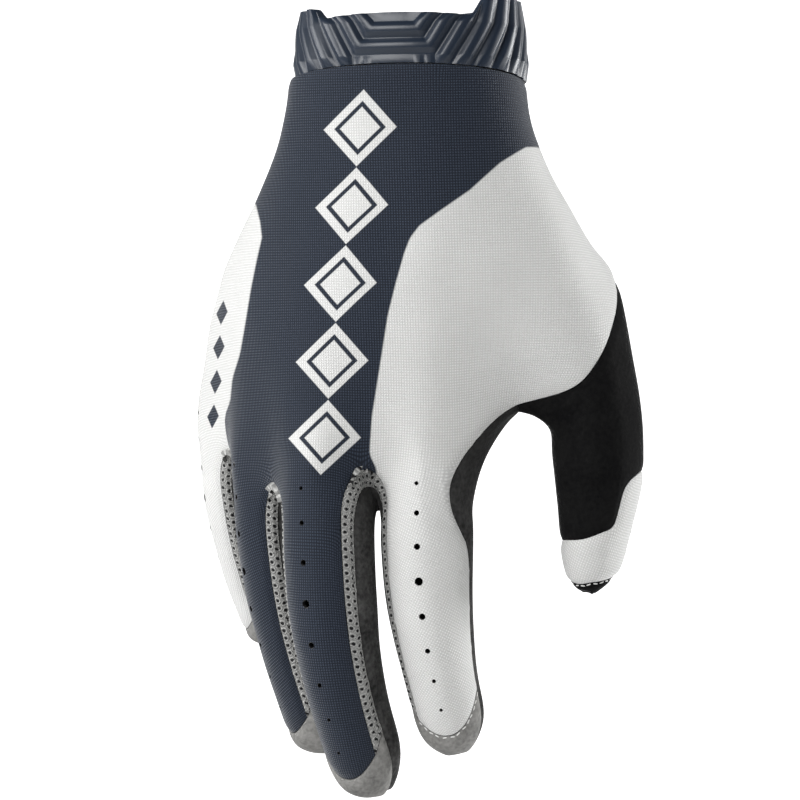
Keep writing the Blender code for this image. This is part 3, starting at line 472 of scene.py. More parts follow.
def buildForks(cage, digits):
    order = handOrder()
    for name in fingerNames:
        for index in range(-7, 9):
            key = forkKey(name, index)
            point = skin(digits[name], forkReach(digits, name, index), sideBulgeTurn(name, index, 0.0))
            if key in cage.points:
                point = 0.5 * (point + cage.points[key])
            cage.points[key] = point
    for name, index in order:
        upper = cage.points[("palm", handValues["rows"], name, index)]
        lower = cage.points[forkKey(name, index)]
        point = upper.lerp(lower, handValues["handRow"])
        if name == "index" and index in patchPull:
            rowShare = mix(handValues["handRow"], handValues["patchRow"], patchPull[index])
            point = upper.lerp(lower, rowShare)
            digit = digits[name]
            reach = digit["axis"][0].z - point.z
            edge = skin(digit, reach, sideBulgeTurn(name, index, reach / digit["length"]))
            point = point.lerp(edge, patchPull[index])
        cage.points[("hand", name, index)] = point
    firstKnit = order.index(("little", -sideColumn))
    lastKnit = order.index(("index", sideColumn))
    panels = ["back_shell" if firstKnit <= place < lastKnit else "palm" for place in range(len(order))]
    top = [("palm", handValues["rows"], name, index) for name, index in order]
    middle = [("hand", name, index) for name, index in order]
    bottom = [forkKey(name, index) for name, index in order]
    cage.band(top, middle, panels)
    cage.band(middle, bottom, panels)


capValues = {
    "centre": 0.860,          # place of the seam on the back, as a share of the finger's reach
    "rise": 0.30,
    "floor": 0.735,
    "turnShare": 0.8,
    "ring": 0.955,
}
# Rows down a finger as shares of the way from its fork to the seam of its cap
fingerRows = (0.11, 0.22, 0.29, 0.45, 0.63, 0.82, 1.0)
tipRows = (0.5, 1.0)
ringColumns = tuple(range(-7, 9))


# The seam between the back of a finger and its cap, as a share of the finger's reach.
def capSeamShare(turn):
    rise = capValues["rise"] * math.sin(math.radians(0.5 * turn)) ** 2
    return max(capValues["centre"] - rise, capValues["floor"])


# The panel of the face between a column and the next, under a row.
def fingerPanel(name, row, index):
    low = min(index, index + 1, key=abs)
    size = abs(low)
    if index in (8, -8) or size >= sideColumn:
        return "palm"
    if row >= len(fingerRows):
        return "tip_cap_" + name
    if size < forkColumn:
        return "back_shell"
    side = 1 if index > 0 else -1
    other = neighbour(name, side)
    if other is None:
        return "back_shell"
    pair = (name, other) if side > 0 else (other, name)
    return "fourchette_" + pair[0] + "_" + pair[1]


# Closes the last ring with a four by four grid over the end of the dome.
def addTip(cage, name, digit, lastReach, panelOf):
    count = len(ringColumns)

    def rim(index):
        return ("digit", name, "last", index)

    grid = {}
    for place in range(5):
        grid[place, 0] = rim(place - 2)
        grid[4, place] = rim(place + 2)
        grid[0, place] = rim(-place - 2)
        wrapped = 10 - place
        grid[place, 4] = rim(wrapped if wrapped <= 8 else wrapped - count)
    inner = {(1, 1): -2, (2, 1): 0, (3, 1): 2, (3, 2): 4, (3, 3): 6, (2, 3): 8, (1, 3): -6, (1, 2): -4}
    for place, index in inner.items():
        key = ("digit", name, "grid", place)
        turn = columnTurn(index, 1.0)
        cage.points[key] = skin(digit, mix(digit["reach"], lastReach, 0.5), turn)
        grid[place] = key
    key = ("digit", name, "grid", (2, 2))
    cage.points[key] = skin(digit, digit["reach"], 0.0)
    grid[2, 2] = key
    for across in range(4):
        for down in range(4):
            corners = [grid[across, down], grid[across, down + 1],
                       grid[across + 1, down + 1], grid[across + 1, down]]
            cage.faces.append((panelOf(down), corners))


# Rings of sixteen points from the first ring through each seam to the tip.
def buildDigit(cage, name, digit, firstRing, firstReach, seams, panelOf, tipPanel):
    lastReach = capValues["ring"] * digit["reach"]
    upper = firstRing
    start = firstReach
    row = 0
    for seam, shares in seams:
        goal = [seam(index) for index in ringColumns]
        for share in shares:
            last = seam is seams[-1][0] and share == shares[-1]
            lower = []
            for place, index in enumerate(ringColumns):
                reach = mix(start[place], goal[place], share)
                turn = sideBulgeTurn(name, index, reach / digit["length"])
                key = ("digit", name, "last" if last else row, index)
                cage.points[key] = skin(digit, reach, turn)
                lower.append(key)
            panels = [panelOf(row, index) for index in ringColumns]
            cage.band(upper, lower, panels)
            upper = lower
            row += 1
        start = goal
    addTip(cage, name, digit, lastReach, tipPanel)


def buildFingers(cage, digits):
    for name in fingerNames:
        digit = digits[name]

        def capSeam(index, digit=digit, name=name):
            return capSeamShare(sideBulgeTurn(name, index, capValues["turnShare"])) * digit["reach"]

        def tipRing(index, digit=digit):
            return capValues["ring"] * digit["reach"]

        def panelOf(row, index, name=name):
            return fingerPanel(name, row, index)

        def tipPanel(down, name=name):
            return "tip_cap_" + name if down < 2 else "palm"

        firstRing = [forkKey(name, index) for index in ringColumns]
        firstReach = [forkReach(digits, name, index) for index in ringColumns]
        seams = ((capSeam, fingerRows), (tipRing, tipRows))
        buildDigit(cage, name, digit, firstRing, firstReach, seams, panelOf, tipPanel)


# Levels are shares of the thumb's reach, and turns are in degrees
thumbValues = {
    "tongueTop": 0.545,
    "tongueEdge": 0.60,
    "tongueTurn": 52.0,
    "tongueLimit": 1.6,
    "knitLevel": 0.725,
    "knitRise": 0.065,
    "knitStart": 30.0,
    "knitSpan": 80.0,
    "capLevel": 0.90,
    "capSlant": 0.045,
    "capTurn": 120.0,
    "ring": 0.972,
}
tongueRows = (0.25, 0.5, 0.75, 1.0)
knitRows = (0.5, 1.0)
thumbCapRows = (0.34, 0.68, 1.0)


def buildThumb(cage, digits):
    values = thumbValues
    rows = handValues["rows"]
    digit = digits["thumb"]
    reach = digit["reach"]

    def tongue(index):
        share = min(values["tongueLimit"], (columnTurns[abs(index)] / values["tongueTurn"]) ** 2)
        return mix(values["tongueTop"], values["tongueEdge"], share) * reach

    def knitEdge(index):
        share = ease((columnTurns[abs(index)] - values["knitStart"]) / values["knitSpan"])
        return (values["knitLevel"] + values["knitRise"] * share) * reach

    def capEdge(index):
        turn = math.radians(math.copysign(columnTurns[abs(index)], index) + values["capTurn"])
        return (values["capLevel"] + values["capSlant"] * math.cos(turn)) * reach

    def tipRing(index):
        return values["ring"] * reach

    def panelOf(row, index):
        if row < 4:
            return "thumb_panel"
        if row < 6:
            return "thumb_tip" if -forkColumn <= index < forkColumn else "thumb_panel"
        if row < 9:
            return "thumb_tip"
        return "thumb_tip_cap"

    firstRing = [("palm", rows, "index", sideColumn)]
    firstRing += [("palm", rows, "thumb", index) for index in range(-creaseColumn, creaseColumn + 1)]
    firstRing += [("palm", rows, "index", creaseColumn), ("palm", rows, "index", 5)]
    firstReach = [thumbSeamReach(digits, index) for index in ringColumns]
    seams = ((tongue, tongueRows), (knitEdge, knitRows),
             (capEdge, thumbCapRows), (tipRing, (1.0,)))
    buildDigit(cage, "thumb", digit, firstRing, firstReach, seams, panelOf, lambda down: "thumb_tip_cap")


def buildCage(digits):
    cage = Cage()
    buildPalm(cage, digits)
    buildForks(cage, digits)
    buildFingers(cage, digits)
    buildThumb(cage, digits)
    smoothPalm(cage)
    return cage


# Evens the palm rows between the cuff and the forks, and leaves the seams where they are.
def smoothPalm(cage):
    around = {}
    for _, corners in cage.faces:
        for place, key in enumerate(corners):
            near = around.setdefault(key, [])
            near += [other for other in (corners[place - 1], corners[(place + 1) % len(corners)])
                     if other not in near]
    movable = [key for key in cage.points
               if (key[0] == "palm" and 0 < key[1] < handValues["rows"]) or key[0] == "hand"
               or (key[0] == "palm" and key[1] == handValues["rows"] and key[2] in fingerNames
                   and not (key[2] == "index" and key[3] in (sideColumn, 5, creaseColumn)))]
    for _ in range(handValues["smoothRounds"]):
        moved = {}
        for key in movable:
            near = around[key]
            middle = sum((cage.points[other] for other in near), Vector()) / len(near)
            moved[key] = cage.points[key].lerp(middle, 0.5)
        cage.points.update(moved)


holeValues = {
    "diameter": 0.0023,
    "sides": 8,
    "facingTurn": 4.0,        # turn and reach over which the skin's facing is read at a hole
    "facingReach": 0.001,
    "reveal": 1.03,
}
# Perforation centres as shares of the finger's length, and diameters as shares of the one above
holes = ((0.07, 0.50), (0.17, 0.64), (0.28, 0.75), (0.39, 1.0),
         (0.50, 0.78), (0.61, 0.62), (0.71, 0.48), (0.81, 0.40))
thumbHoles = ((0.57, 0.48), (0.64, 0.60), (0.71, 0.70), (0.78, 0.60), (0.85, 0.48))


# Short rods that stand in the wall, largest near the middle joint.
def holeCutter(name, digit, rows):
    turnStep = holeValues["facingTurn"]
    step = holeValues["facingReach"]
    sides = holeValues["sides"]
    mesh = bmesh.new()
    places = []
    for share, size in rows:
        reach = share * digit["length"]
        top = skin(digit, reach, 0.0)
        ahead = (skin(digit, reach, turnStep) - skin(digit, reach, -turnStep)).normalized()
        down = (skin(digit, reach + step, 0.0) - skin(digit, reach - step, 0.0)).normalized()
        outward = down.cross(ahead).normalized()
        if outward.dot(top - axisPoint(digit, reach)) < 0.0:
            outward.negate()
        radius = 0.5 * size * holeValues["diameter"]
        places.append((top, outward, radius))
        rings = []
        for height in (2.0 * wallValues["knit"], -2.5 * wallValues["knit"]):
            ring = []
            for count in range(sides):
                angle = 2.0 * math.pi * (count + 0.5) / sides
                roundEdge = ahead * math.cos(angle) + down * math.sin(angle)
                spot = top + outward * height + roundEdge * radius
                ring.append(mesh.verts.new(spot))
            rings.append(ring)
        for count in range(sides):
            after = (count + 1) % sides
            mesh.faces.new([rings[0][count], rings[0][after], rings[1][after], rings[1][count]])
        mesh.faces.new(list(reversed(rings[0])))
        mesh.faces.new(rings[1])
    bmesh.ops.recalc_face_normals(mesh, faces=mesh.faces)
    data = bpy.data.meshes.new(name)
    mesh.to_mesh(data)
    mesh.free()
    cutter = bpy.data.objects.new(name, data)
    cutter.hide_render = True
    cutter.display_type = "WIRE"
    bpy.context.scene.collection.objects.link(cutter)
    return cutter, places


# Moulded cuff: nested chevron steps on the back and slanting ribs round the sides

wristValues = {"breadth": 0.0590, "depth": 0.0450, "turn": 23.0, "samples": 360}

cuffValues = {
    "height": 0.0150,
    "wall": 0.0022,
    "flare": 0.0012,
    "sideRise": 0.0034,       # the top edge over the sides and over the back
    "outerRise": 0.0008,
    "backDip": 0.0012,
    "backArch": 0.0010,
    "dipSpan": 50.0,
    "sideDrop": 0.0052,       # the lower edge on the palm side
    "seamRise": 0.0006,
    "relief": 0.0014,         # height of a rib
    "footRoom": 0.0022,
    "pitch": 0.0056,
    "lean": 0.62,
    "chevrons": 3,
    "chevronHalf": 0.0052,
    "chevronDrop": 0.0044,
    "chevronLead": 0.8,
    "sideRibs": 6,
    "plainColumns": 4,
}
# One rib: shares of the way to the next rib, with the height there as a share of the relief
ribProfile = {0.0: 0.0, 0.08: 0.12, 0.20: 0.72, 0.34: 0.88, 0.58: 1.0, 0.66: 0.90, 0.88: 0.10}


# The wrist's section at an angle from the middle of the back, before its turn.
def wristOutline(angle):
    cosine = math.cos(angle)
    across = 0.5 * wristValues["breadth"] * math.sin(angle)
    ahead = 0.5 * wristValues["depth"] * math.copysign(abs(cosine) ** handValues["squareness"], cosine)
    return Vector((across, -ahead, 0.0))


# How far round the wrist each of the sampled angles is, from the back to the palm.
def wristRuns():
    runs = [0.0]
    for count in range(wristValues["samples"]):
        first = wristOutline(math.pi * count / wristValues["samples"])
        second = wristOutline(math.pi * (count + 1) / wristValues["samples"])
        runs.append(runs[-1] + (second - first).length)
    return runs


def wristAngle(runs, run):
    size = min(abs(run), runs[-1])
    place = next((count for count, far in enumerate(runs) if far >= size), wristValues["samples"])
    if place == 0:
        return 0.0
    part = (size - runs[place - 1]) / (runs[place] - runs[place - 1])
    return math.copysign(math.pi * (place - 1 + part) / wristValues["samples"], run)


# A point of the cuff, height metres outside its smooth outer face.
def cuffPoint(angle, drop, height):
    flare = cuffValues["flare"] * (drop / cuffValues["height"] - 1.0)
    here = wristOutline(angle)
    ahead = wristOutline(angle + 0.01) - wristOutline(angle - 0.01)
    outward = Vector((ahead.y, -ahead.x, 0.0)).normalized()
    spot = here + outward * (flare + height)
    turn = math.radians(wristValues["turn"])
    return Vector((spot.x * math.cos(turn) - spot.y * math.sin(turn),
                   spot.x * math.sin(turn) + spot.y * math.cos(turn), -drop))


# Levels of the columns on one side, from the middle of the back to the last rib.
def cuffColumns():
    levels = [-1.0, -0.45]
    for rib in range(cuffValues["chevrons"] + cuffValues["sideRibs"]):
        levels += [rib + share for share in ribProfile]
    levels.append(float(cuffValues["chevrons"] + cuffValues["sideRibs"]))
    return levels


# How far round from the middle of the back a slanting column is at a drop.
def ribRun(level, drop):
    if level < 0.0:
        return cuffValues["chevronHalf"] * (1.0 + level)
    foot = cuffValues["chevronDrop"] * (level + cuffValues["chevronLead"])
    above = min(drop, foot) - 0.8 * cuffValues["chevronDrop"]
    return cuffValues["chevronHalf"] + level * cuffValues["pitch"] - cuffValues["lean"] * above


def ribHeight(level):
    if level < 0.0 or level >= cuffValues["chevrons"] + cuffValues["sideRibs"]:
        return 0.0
    share = level - math.floor(level + 1e-6)
    nearest = min(ribProfile, key=lambda known: abs(known - share))
    return ribProfile[nearest] * cuffValues["relief"]


# The top edge dips over the back and stands higher round the sides, most on the thumb side.
def cuffTop(run, halfRound):
    dip = halfRound * cuffValues["dipSpan"] / 180.0
    swing = 0.5 + 0.5 * math.sin(math.pi * run / halfRound)
    rise = mix(cuffValues["outerRise"], cuffValues["sideRise"], swing)
    overBack = cuffValues["backDip"] + cuffValues["backArch"] * min(1.0, abs(run) / dip) ** 2
    return mix(overBack, -rise, ease((abs(run) - dip) / (0.4 * cuffValues["height"]) + 0.5))


def makeCuff(material):
    runs = wristRuns()
    halfRound = runs[-1]
    side = cuffColumns()
    last = side[-1]
    columns = [(level, 0.0) for level in side]
    plainCount = cuffValues["plainColumns"]
    columns += [(last, (count + 1) / plainCount) for count in range(plainCount)]
    whole = [(1, column) for column in columns] + [(-1, column) for column in reversed(columns[1:-1])]
    rowLevels = [-1.0] + [rib + share for rib in range(cuffValues["chevrons"]) for share in ribProfile]
    lead = cuffValues["chevronLead"]
    foot = cuffValues["height"] - cuffValues["footRoom"]
    rows = [0.0] + [cuffValues["chevronDrop"] * (level + lead) for level in rowLevels[1:]]
    keep = [(level, drop) for level, drop in zip(rowLevels, rows) if drop < foot]
    keep.append((None, None))

    mesh = bmesh.new()
    outer = []
    inner = []
    for row, (rowLevel, rowDrop) in enumerate(keep):
        outerRow = []
        innerRow = []
        for sign, (level, plain) in whole:
            drop = rowDrop if rowDrop is not None else cuffValues["height"]
            run = mix(ribRun(level, drop), halfRound, plain) * sign
            angle = wristAngle(runs, run)
            if row == 0:
                drop = cuffTop(run, halfRound)
            if rowDrop is None:
                drop = cuffSeamDrop(math.degrees(angle))
            height = ribHeight(max(level, rowLevel if rowLevel is not None else -1.0))
            if plain > 0.0:
                height = 0.0
            if rowDrop is None:
                height *= 0.3
            if row == 0:
                height *= 0.6
            outerRow.append(mesh.verts.new(cuffPoint(angle, drop, height)))
            innerRow.append(mesh.verts.new(cuffPoint(angle, drop, -cuffValues["wall"])))
        outer.append(outerRow)
        inner.append(innerRow)
    count = len(whole)
    for column in range(count):
        after = (column + 1) % count
        for row in range(len(keep) - 1):
            mesh.faces.new([outer[row][column], outer[row + 1][column],
                            outer[row + 1][after], outer[row][after]])
            mesh.faces.new([inner[row][after], inner[row + 1][after],
                            inner[row + 1][column], inner[row][column]])
        mesh.faces.new([outer[0][column], outer[0][after], inner[0][after], inner[0][column]])
        mesh.faces.new([outer[-1][after], outer[-1][column], inner[-1][column], inner[-1][after]])
    data = bpy.data.meshes.new("cuff")
    mesh.to_mesh(data)
    mesh.free()
    data.materials.append(material)
    data.shade_smooth()
    data.set_sharp_from_angle(angle=math.radians(60.0))
    item = bpy.data.objects.new("cuff", data)
    bpy.context.scene.collection.objects.link(item)
    return item


# Skin: the cage is turned into one smooth surface, then parted along its seams

skinValues = {
    "levels": 3,            # subdivisions of the cage
    "growth": 0.9,          # how far the cage is grown towards a surface through its points
    "tipGrowth": 0.5,
    "thumbBluntness": 0.55, # how far the end of the thumb is pressed flat
    "seamRounds": 40,       # rounds that ease the corners of the seams
    "seamDepth": 0.00045,   # how far a seam sinks
    "seamReach": 0.0011,    # how far the sink reaches from the seam
    "seamOpening": 0.00012, # half the slit that shows in a seam
    "unevenness": 0.00035,  # slow waves of worn cloth
    "waveLength": 0.014,
}

panels = {
    "back_shell": dict(wall=wallValues["knit"], slot="printed_knit"),
    "palm": dict(wall=wallValues["suede"], slot="dark_suede"),
    "fourchette_little_ring": dict(wall=wallValues["mesh"], slot="grey_mesh"),
    "fourchette_ring_middle": dict(wall=wallValues["mesh"], slot="grey_mesh"),
    "fourchette_middle_index": dict(wall=wallValues["mesh"], slot="grey_mesh"),
    "tip_cap_little": dict(wall=wallValues["suede"], slot="grey_suede"),
    "tip_cap_ring": dict(wall=wallValues["suede"], slot="grey_suede"),
    "tip_cap_middle": dict(wall=wallValues["suede"], slot="grey_suede"),
    "tip_cap_index": dict(wall=wallValues["suede"], slot="grey_suede"),
    "thumb_panel": dict(wall=wallValues["suede"], slot="dark_suede"),
    "thumb_tip": dict(wall=wallValues["knit"], slot="white_knit"),
    "thumb_tip_cap": dict(wall=0.5 * wallValues["suede"], slot="dark_suede"),
}
panelNames = list(panels)


# The cage is grown a little, so that the smooth surface passes through its points
def spreadCage(cage):
    edgeNear = {}
    faceFar = {}
    for _, corners in cage.faces:
        for place, key in enumerate(corners):
            near = edgeNear.setdefault(key, [])
            for other in (corners[place - 1], corners[(place + 1) % 4]):
                if other not in near:
                    near.append(other)
            faceFar.setdefault(key, []).append(corners[(place + 2) % 4])
    moved = {}
    for key, point in cage.points.items():
        if key not in edgeNear or len(edgeNear[key]) != len(faceFar[key]):
            continue
        count = len(edgeNear[key])
        near = sum((cage.points[other] for other in edgeNear[key]), Vector())
        far = sum((cage.points[other] for other in faceFar[key]), Vector())
        limit = (point * count ** 2 + near * 4.0 + far) / (count * (count + 5.0))
        growth = skinValues["tipGrowth"] if key[2] == "grid" else skinValues["growth"]
        moved[key] = point + (point - limit) * growth
        if key[:3] == ("digit", "thumb", "grid") and key[3] == (2, 2):
            moved[key] = moved[key].lerp(near / count, skinValues["thumbBluntness"])
    cage.points.update(moved)


# Selects an object alone and makes it active
def activate(item):
    bpy.ops.object.select_all(action="DESELECT")
    item.select_set(True)
    bpy.context.view_layer.objects.active = item


def linkMesh(name, data):
    item = bpy.data.objects.new(name, data)
    bpy.context.scene.collection.objects.link(item)
    return item


def applyModifiers(item):
    activate(item)
    for modifier in list(item.modifiers):
        bpy.ops.object.modifier_apply(modifier=modifier.name)


def tubeSeam(first, second):
    sameDigit = first[0] == second[0] == "digit" and first[1] == second[1] == "thumb"
    return sameDigit and first[3] == second[3] == 8


def makeSkin(cage):
    used = set()
    for _, corners in cage.faces:
        used.update(corners)
    keys = [key for key in cage.points if key in used]
    place = {key: count for count, key in enumerate(keys)}
    data = bpy.data.meshes.new("skin")
    faces = [[place[key] for key in corners] for _, corners in cage.faces]
    data.from_pydata([cage.points[key] for key in keys], [], faces)
    panel = data.attributes.new("panel", "INT", "FACE")
    for count, (name, _) in enumerate(cage.faces):
        panel.data[count].value = panelNames.index(name)
    owner = {}
    for count, (name, corners) in enumerate(cage.faces):
        for spot, key in enumerate(corners):
            owner.setdefault(frozenset((place[key], place[corners[(spot + 1) % 4]])), set()).add(name)
    for edge in data.edges:
        first, second = edge.vertices
        both = owner[frozenset((first, second))]
        edge.use_seam = len(both) > 1 or tubeSeam(keys[first], keys[second])
    item = linkMesh("skin", data)
    activate(item)
    bpy.ops.object.mode_set(mode="EDIT")
    bpy.ops.mesh.select_all(action="SELECT")
    bpy.ops.uv.unwrap(method="MINIMUM_STRETCH", iterations=60, margin=0.01)
    bpy.ops.uv.select_all(action="SELECT")
    bpy.ops.uv.average_islands_scale()
    bpy.ops.object.mode_set(mode="OBJECT")
    scaleWeave(data)
    smooth = item.modifiers.new("smooth", "SUBSURF")
    smooth.levels = skinValues["levels"]
    smooth.render_levels = skinValues["levels"]
    smooth.uv_smooth = "PRESERVE_BOUNDARIES"
    applyModifiers(item)
    return item


# The weave map is measured in millimetres, the same in every panel
def scaleWeave(data):
    layer = data.uv_layers.active.data
    length = 0.0
    flat = 0.0
    for face in data.polygons:
        loops = list(face.loop_indices)
        for spot, loop in enumerate(loops):
            after = loops[(spot + 1) % len(loops)]
            start = data.vertices[data.loops[loop].vertex_index].co
            end = data.vertices[data.loops[after].vertex_index].co
            length += (end - start).length
            flat += (layer[after].uv - layer[loop].uv).length
    scale = 1000.0 * length / flat
    panel = data.attributes["panel"].data
    for number in range(len(panelNames)):
        loops = [loop for face in data.polygons if panel[face.index].value == number
                 for loop in face.loop_indices]
        flatSpots = np.array([layer[loop].uv for loop in loops])
        heights = np.array([data.vertices[data.loops[loop].vertex_index].co.z for loop in loops])
        flatSpots -= flatSpots.mean(axis=0)
        slope = np.linalg.lstsq(flatSpots, heights - heights.mean(), rcond=None)[0]
        upward = slope / np.linalg.norm(slope)
        for loop in loops:
            spot = layer[loop].uv.copy()
            layer[loop].uv = ((spot.x * upward[1] - spot.y * upward[0]) * scale,
                              (spot.x * upward[0] + spot.y * upward[1]) * scale)
    data.uv_layers.active.name = "weave"


# The points along the edges between panels, each with the two panels that meet there
def seamPoints(data):
    panel = data.attributes["panel"].data
    beside = {}
    for face in data.polygons:
        for edge in face.edge_keys:
            beside.setdefault(edge, []).append(panel[face.index].value)
    points = []
    for (first, second), owners in beside.items():
        if len(owners) == 2 and owners[0] == owners[1]:
            continue
        start = data.vertices[first].co
        end = data.vertices[second].co
        for share in (0.0, 0.5):
            points.append((start.lerp(end, share), tuple(owners)))
    return points


def pointTree(points):
    tree = kdtree.KDTree(len(points))
    for count, (point, _) in enumerate(points):
        tree.insert(point, count)
    tree.balance()
    return tree


def shapeSkin(item):
    data = item.data
    tree = pointTree(seamPoints(data))
    normals = [vertex.normal.copy() for vertex in data.vertices]
    for vertex, normal in zip(data.vertices, normals):
        near = tree.find(vertex.co)[2]
        sink = skinValues["seamDepth"] * math.exp(-((near / skinValues["seamReach"]) ** 2))
        wave = noise.noise(vertex.co / skinValues["waveLength"]) * skinValues["unevenness"]
        wave *= min(1.0, near / 0.004)
        vertex.co += normal * (wave - sink)


# Eases the corners of the seams and lets the cloth beside them follow, within the surface
def easeSeams(item):
    data = item.data
    count = len(data.vertices)
    points = np.empty(count * 3)
    data.vertices.foreach_get("co", points)
    points = points.reshape(-1, 3)
    normals = np.array([vertex.normal for vertex in data.vertices])
    edges = np.array([edge.vertices for edge in data.edges])
    panel = data.attributes["panel"].data
    beside = {}
    for face in data.polygons:
        for edge in face.edge_keys:
            beside.setdefault(edge, []).append(panel[face.index].value)
    seams = np.array([edge for edge, owners in beside.items() if len(owners) < 2 or owners[0] != owners[1]])
    onSeam = np.bincount(seams.ravel(), minlength=count)
    near = np.bincount(edges.ravel(), minlength=count)
    for _ in range(skinValues["seamRounds"]):
        total = np.zeros_like(points)
        np.add.at(total, edges[:, 0], points[edges[:, 1]])
        np.add.at(total, edges[:, 1], points[edges[:, 0]])
        goal = total / near[:, None]
        along = np.zeros_like(points)
        np.add.at(along, seams[:, 0], points[seams[:, 1]])
        np.add.at(along, seams[:, 1], points[seams[:, 0]])
        two = onSeam == 2
        goal[two] = along[two] / 2.0
        goal[onSeam > 2] = points[onSeam > 2]
        move = (goal - points) * 0.5
        move -= normals * np.sum(move * normals, axis=1)[:, None]
        points += move
    data.vertices.foreach_set("co", points.ravel())
    data.update()


def partPanel(skinItem, name):
    number = panelNames.index(name)
    source = skinItem.data
    panel = source.attributes["panel"].data
    work = bmesh.new()
    work.from_mesh(source)
    work.faces.ensure_lookup_table()
    gone = [face for face in work.faces if panel[face.index].value != number]
    bmesh.ops.delete(work, geom=gone, context="FACES")
    moves = {}
    for vertex in work.verts:
        if vertex.is_boundary:
            inner = [edge.other_vert(vertex).co for edge in vertex.link_edges if not edge.is_boundary]
            if inner:
                pull = sum(inner, Vector()) / len(inner) - vertex.co
                moves[vertex] = pull.normalized() * skinValues["seamOpening"]
    for vertex, move in moves.items():
        vertex.co += move
    data = bpy.data.meshes.new(name)
    work.to_mesh(data)
    work.free()
    data.attributes.remove(data.attributes["panel"])
    return linkMesh(name + "_cloth", data)


# Place across a mesh strip, from its middle, and along its seam with the back, in millimetres
def measureStrip(item, skinItem, name, seams):
    backSeams = [row for row in seams if panelNames.index("back_shell") in row[1]]
    palmSeams = [row for row in seams if panelNames.index("palm") in row[1]]
    backTree = pointTree(backSeams)
    palmTree = pointTree(palmSeams)
    chain = seamChain(skinItem, "back_shell", name)
    lengths = [0.0]
    for (start, _, _), (end, _, _) in zip(chain, chain[1:]):
        lengths.append(lengths[-1] + (end - start).length)
    chainTree = pointTree([(row[0], None) for row in chain])
    across = item.data.attributes.new("stripAcross", "FLOAT", "POINT")
    along = item.data.attributes.new("stripAlong", "FLOAT", "POINT")
    for vertex in item.data.vertices:
        away = backTree.find(vertex.co)[2] - palmTree.find(vertex.co)[2]
        across.data[vertex.index].value = 500.0 * away
        total = weight = 0.0
        for _, place, far in chainTree.find_n(vertex.co, 4):
            share = 1.0 / (far * far + 1e-8)
            total += lengths[place] * share
            weight += share
        along.data[vertex.index].value = 1000.0 * total / weight


def giveWall(item, wall):
    thick = item.modifiers.new("wall", "SOLIDIFY")
    thick.thickness = wall
    thick.offset = -1.0
    applyModifiers(item)
    item.data.shade_smooth()
    item.data.set_sharp_from_angle(angle=math.radians(50.0))


# Print: how far each point of the back lies inside the white, in millimetres

printValues = {
    "viewTurn": 35.0,       # the print's edges were drawn looking from this side
    "leftStart": 47.8,      # drop at which the white of the outer side begins
    "outerSide": 34.0,      # the outer side is white behind this depth
    "innerFork": 113.0,     # drop below which each finger has one colour
    "outerFork": 99.0,
    "bandCentre": [(19.0, -12.0), (45.0, -14.5), (75.0, -19.0), (121.0, -23.5)],
}
# drop and place across of the print's two edges, in millimetres
thumbEdge = [(34.0, 40.0), (35.1, 32.5), (35.6, 29.6), (40.0, 22.9), (47.1, 15.1), (52.5, 7.3), (56.2, 2.1),
             (59.3, -0.3), (63.2, -1.8), (70.5, -3.9), (78.8, -6.0), (92.0, -8.1), (104.5, -10.1),
             (115.7, -10.9), (130.0, -8.5)]
outerEdge = [(46.0, -46.0), (47.8, -40.8), (53.0, -39.5), (57.2, -39.0), (62.4, -40.3), (69.9, -41.9),
             (80.3, -43.7), (87.1, -45.0), (93.1, -47.1), (99.3, -47.8), (106.1, -48.1), (115.7, -46.3)]


def follow(table, place):
    if place <= table[0][0]:
        return table[0][1]
    for (low, first), (high, second) in zip(table, table[1:]):
        if place <= high:
            return mix(first, second, (place - low) / (high - low))
    return table[-1][1]


# Distance in the plane of the print from a polyline, in millimetres
def lineDistance(table, drop, across):
    best = 1e9
    for (low, first), (high, second) in zip(table, table[1:]):
        start = Vector((low, first))
        along = Vector((high, second)) - start
        share = (Vector((drop, across)) - start).dot(along) / along.length_squared
        best = min(best, (start + along * min(1.0, max(0.0, share)) - Vector((drop, across))).length)
    return best


def whiteDepth(point):
    turn = math.radians(printValues["viewTurn"])
    across = 1000.0 * (point.x * math.cos(turn) + point.y * math.sin(turn))
    depth = 1000.0 * (-point.x * math.sin(turn) + point.y * math.cos(turn))
    drop = -1000.0 * point.z
    right = lineDistance(thumbEdge, drop, across)
    if drop < thumbEdge[0][0] or across < follow(thumbEdge, drop):
        right = -right
    left = lineDistance(outerEdge, drop, across)
    if drop < outerEdge[0][0] or across > follow(outerEdge, drop):
        left = -left
    hidden = min(depth - printValues["outerSide"], drop - printValues["leftStart"])
    if across > 0.0:
        hidden = -9.0
    return max(right, left, hidden)


# How much nearer a point is to the white fingers than to the navy ones, in millimetres
def whiteFinger(digits, point):
    away = {}
    for name in fingerNames:
        away[name] = min((spot - point).length for spot in digits[name]["axis"][::2])
    white = min(away["index"], away["little"])
    navy = min(away["middle"], away["ring"])
    return 500.0 * (navy - white)


def paintBack(item, digits):
    data = item.data
    white = data.attributes.new("whiteDepth", "FLOAT", "POINT")
    across = data.attributes.new("printAcross", "FLOAT", "POINT")
    turn = math.radians(printValues["viewTurn"])
    for vertex in data.vertices:
        point = vertex.co
        value = whiteDepth(point)
        fork = printValues["outerFork"] if point.x < -0.045 else printValues["innerFork"]
        sure = ease((-1000.0 * point.z - fork) / 6.0)
        if sure > 0.0:
            value = mix(value, whiteFinger(digits, point), sure)
        white.data[vertex.index].value = value
        side = 1000.0 * (point.x * math.cos(turn) + point.y * math.sin(turn))
        side -= follow(printValues["bandCentre"], -1000.0 * point.z)
        behind = side < 0.0 and vertex.normal.y * math.cos(turn) > vertex.normal.x * math.sin(turn)
        across.data[vertex.index].value = sideMarks["off"] if behind else side


# Materials

